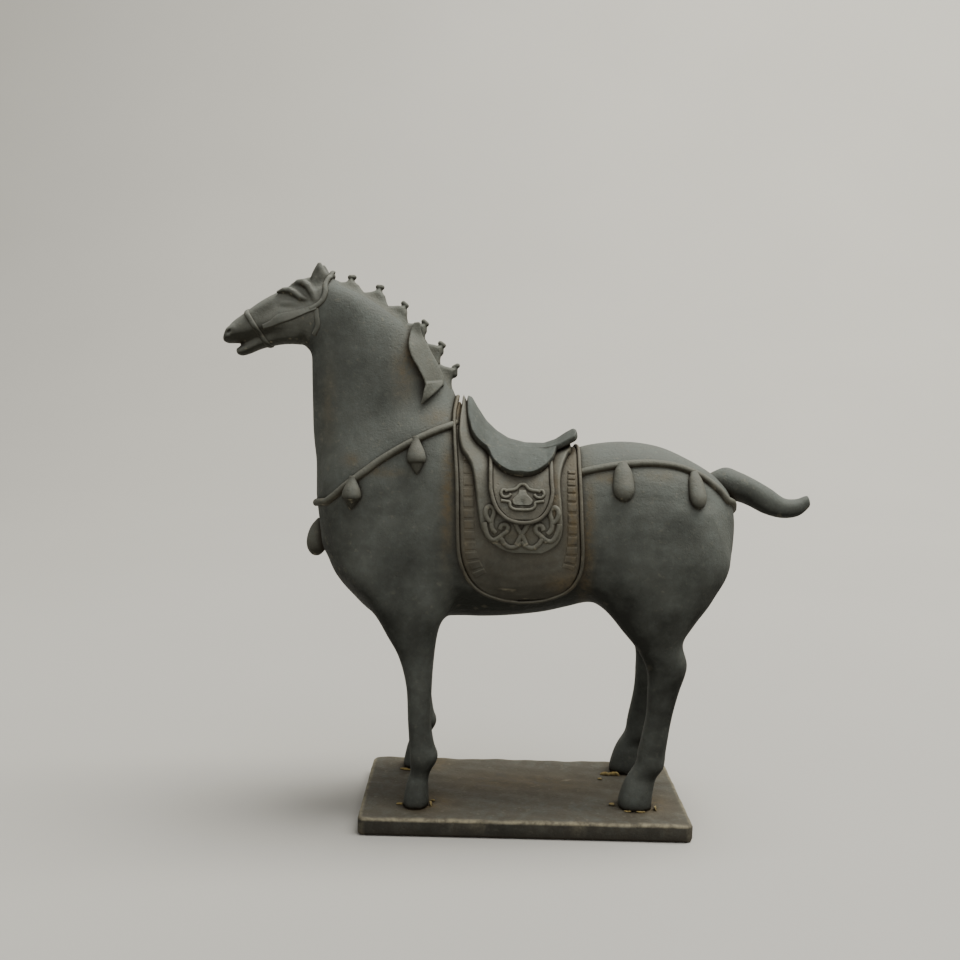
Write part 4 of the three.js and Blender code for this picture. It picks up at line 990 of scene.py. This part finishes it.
# Depth into the neck; half thickness at the crest, and its growth for each mm down.
TUFT_ROOT, TUFT_SIDE, TUFT_FLARE = 1.6, 1.15, 0.3
KNOB, KNOB_REACH = 0.31, 0.24      # the tied knob's radius and half length
mane_bronze = patinated_bronze("mane_patinated_bronze", "#66675f", "#2a2a23", rub=0.3)
for number, (*top, lean) in enumerate(TUFTS, 1):
    top = np.array(top)
    knob = top[2].copy()
    top[2] -= (0.05, 0.3)
    run = (top[4] - top[0]) / np.linalg.norm(top[4] - top[0])
    inward = np.array([run[1], -run[0]])
    corners = np.concatenate([top, [top[4] + TUFT_ROOT * inward, top[0] + TUFT_ROOT * inward]])
    tuft = Wax((corners[:, 0].min() - 1.2, -2.5, corners[:, 1].min() - 1.2),
               (corners[:, 0].max() + 1.2, 2.5, knob[1] + 0.9), 0.1, reach=1.6)
    side_view = tuft.outline(corners)
    sunk = (tuft.x - top[0, 0]) * inward[0] + (tuft.z - top[0, 1]) * inward[1]
    half = TUFT_SIDE + TUFT_FLARE * np.clip(sunk, -1.4, 1.0)
    tuft.field = scoop(side_view, half - np.abs(tuft.y), 0.45)
    tuft.field = melt(tuft.field, tuft.echo(body) + 0.06, 0.7)
    reach = np.array([np.cos(lean), -np.sin(lean)]) * KNOB_REACH
    knot = [(knob[0] - reach[0], 0, knob[1] - reach[1]), (knob[0] + reach[0], 0, knob[1] + reach[1])]
    stalk = [(knob[0], 0, knob[1]), (knob[0] - 0.25, 0, knob[1] - 0.9)]
    tuft.field = melt(tuft.field, tuft.rod(stalk, [0.24, 0.5]), 0.3)
    tuft.field = melt(tuft.field, tuft.rod(knot, KNOB), 0.08)
    tuft.field = np.maximum(tuft.field, np.maximum(side_view - 0.9, np.abs(tuft.y) - 2.3))
    piece(f"mane_tuft_{number}_cast", [tuft.skin()], mane_bronze, [f"mane_tuft_{number}"])

LOCK = [   # front edge x, z, rear edge x, z, half thickness; how far the front and rear edges stand off
    [-14.7, 60.3, -14.0, 60.4, 0.3, 0.0, 0.0], [-15.1, 59.2, -13.7, 58.9, 0.4, 0.45, 0.1],
    [-15.2, 57.6, -13.0, 57.7, 0.45, 0.75, 0.15], [-14.8, 56.2, -12.4, 56.6, 0.45, 0.85, 0.2],
    [-13.9, 54.7, -11.7, 55.4, 0.45, 0.85, 0.2], [-13.2, 53.3, -11.0, 53.9, 0.45, 0.8, 0.2],
    [-13.1, 52.3, -10.9, 52.8, 0.35, 0.7, 0.2],
]
LOCK_TIP = [[-12.9, 53.2, -11.1, 53.4, 0.35, 1.1, 0.7], [-13.2, 52.3, -11.1, 52.8, 0.45, 1.0, 0.7],
            [-13.35, 51.4, -12.1, 51.7, 0.4, 0.8, 0.7], [-13.55, 50.6, -13.2, 50.7, 0.2, 0.5, 0.5]]


def hung(rows, side):
    """A strand's rows on one side, each edge set off the skin or off the tufts' sides."""
    r = np.array(rows)
    y = [np.maximum(np.abs(body.beside(r[:, k], r[:, k + 1], side)[:, 1]), TUFT_SIDE + 0.45) + r[:, up]
         for k, up in ((0, 5), (2, 6))]
    return limb(np.column_stack([r[:, :5], side * y[0], side * y[1]]), 4.0, 36, 90)


for side, word in ((LEFT, "left"), (RIGHT, "right")):
    low, high = sorted((side * 0.6, side * 7.0))
    lock = Wax((-16.5, low, 49.5), (-9.5, high, 61.5), 0.12, reach=1.6)
    lock.field = melt(lock.measure(hung(LOCK, side)), lock.measure(hung(LOCK_TIP, side)), 0.1)
    piece(f"mane_lock_{word}_cast", [lock.skin()], mane_bronze, [f"mane_lock_{word}"])

# ---------------------------------------------------------------------------------------------
# The plate: a thin cast slab with softened, rubbed edges; braze shows as brassy crumbs at the hooves.
PLATE_LONG, PLATE_WIDE, PLATE_CORNER, PLATE_SOFT = 39.6, 21.0, 0.8, 0.4
WAVINESS = 0.035     # of the top, as cast


def slab():
    """Rings of a rounded rectangle. Each ring has an inset and a height: in from the top's middle, out
    to the softened edge (a quarter circle), down the side, round again and in under the plate."""
    a = np.linspace(0, np.pi / 2, 9)
    soft = PLATE_SOFT
    inset = np.concatenate([soft * (1 - np.sin(a)), soft * (1 - np.cos(a))])
    height = np.concatenate([SOLE - soft * (1 - np.cos(a)), soft * (1 - np.sin(a))])
    half_x, half_y, r = PLATE_LONG / 2, PLATE_WIDE / 2, PLATE_CORNER
    n = 200
    s = np.linspace(0, 1, n, endpoint=False)
    legs = np.array([2 * (half_y - r), 0.5 * np.pi * r, 2 * (half_x - r), 0.5 * np.pi * r] * 2)
    stops = np.concatenate([[0], np.cumsum(legs)]) / legs.sum()
    corners = np.array([[1, -1], [1, 1], [-1, 1], [-1, -1], [1, -1]]) * [half_x - r, half_y - r]
    turn = np.interp(s, stops, np.repeat(np.arange(5), 2)[:-1] * np.pi / 2)
    way = np.stack([np.cos(turn), np.sin(turn)], -1)
    leg = np.clip(np.searchsorted(stops, s, side="right") - 1, 0, 7)
    share = (s - stops[leg]) / (stops[leg + 1] - stops[leg])
    side = leg // 2
    along = np.where(leg % 2 == 0, share, 1.0)[:, None]
    core = corners[side] * (1 - along) + corners[side + 1] * along
    rings = [np.concatenate([core + (r - d) * way, np.full((n, 1), z)], 1)
             for d, z in zip(inset, height)]
    flat = core + (r - soft) * way
    first = [np.concatenate([flat * k, np.full((n, 1), SOLE)], 1) for k in np.linspace(0.03, 0.99, 40)]
    last = [np.concatenate([flat * k, np.zeros((n, 1))], 1) for k in (0.9, 0.4, 0.05)]
    grid = np.array(first + rings + last)
    x, y = grid[..., 0], grid[..., 1]
    wave = WAVINESS * (np.sin(0.9 * x + 1.1 * y) + np.sin(1.7 * x - 0.8 * y + 2)
                       + np.sin(0.5 * x + 2.3 * y + 4))
    grid[..., 2] += np.where(grid[..., 2] > SOLE / 2, wave - 2 * WAVINESS, 0)
    return tube(grid)


plate_bronze = patinated_bronze("rubbed_plate_bronze", "#514d44", "#23221e", rub=0.8)
HOOVES = [(-13.15, -6.0), (13.4, -4.9), (-14.05, 7.4), (13.8, 7.4)]


def trodden(points):
    """Dust round and between the hooves: exp(-(distance / 3.4)^2) from a little behind each, and a bar
    along the middle."""
    held = np.zeros(len(points))
    for x, y in HOOVES:
        far = np.hypot(points[:, 0] - x - 1.5, points[:, 1] - y - 1.0)
        held = np.maximum(held, 0.9 * np.exp(-(far / 3.4) ** 2))
    bar = np.exp(-((points[:, 1] - 2) / 4.0) ** 2 - (points[:, 0] / 11) ** 4)
    return np.maximum(held, 0.6 * bar) * (points[:, 2] > SOLE - 0.3)


def rubbed(points):
    """Bare metal along the plate's upper edge."""
    edge = np.maximum(np.abs(points[:, 0]) - PLATE_LONG / 2, np.abs(points[:, 1]) - PLATE_WIDE / 2)
    return 1.2 * np.clip(1 + edge / 0.6, 0, 1) * np.clip((points[:, 2] - SOLE + 0.45) / 0.25, 0, 1)


piece("plate_cast", [slab()], plate_bronze, ["base_plate"],
      {"residue": trodden, "wear": rubbed})

# Braze that ran out from under the hooves: bright crumbs of yellow metal left at their edges.
braze = Wax((-17.5, -8.5, SOLE - 0.4), (17.5, 8.5, SOLE + 1.0), 0.1, reach=1.0)
CRUMBS = [(-15.1, -6.0, 0.5, 0.3, 0.12), (-11.3, -6.2, 0.16, 0.5, 0.5), (-15.4, 5.6, 0.6, 0.3, 0.15),
          (-14.2, 5.4, 0.5, 0.35, 0.12), (-11.2, -4.7, 0.3, 0.25, 0.1), (10.8, -4.6, 0.4, 0.3, 0.15),
          (12.4, -6.75, 0.5, 0.16, 0.1), (14.0, -6.85, 0.6, 0.16, 0.12), (15.9, -6.0, 0.16, 0.35, 0.55),
          (11.0, 5.3, 0.6, 0.3, 0.35), (12.3, 5.3, 0.7, 0.3, 0.4), (10.2, 3.8, 0.3, 0.25, 0.1),
          (15.4, 5.3, 0.35, 0.25, 0.15)]   # x, y, and half sizes along, across and up
for x, y, along, across, up in CRUMBS:
    crumb = braze.egg((x, y, SOLE), (along, across, up), 0.1 * np.sin(7 * x))
    braze.field = melt(braze.field, crumb, 0.2)
    braze.field = melt(braze.field, braze.egg((x + 0.6 * along, y - 0.4 * across, SOLE),
                                              (0.4 * along, 0.8 * across, 1.3 * up), 0.5), 0.1)
brass = patinated_bronze("braze_brass", "#97834f", "#5a4a2a", rub=0.5)
piece("braze_crumbs", [braze.skin()], brass, ["base_plate"])
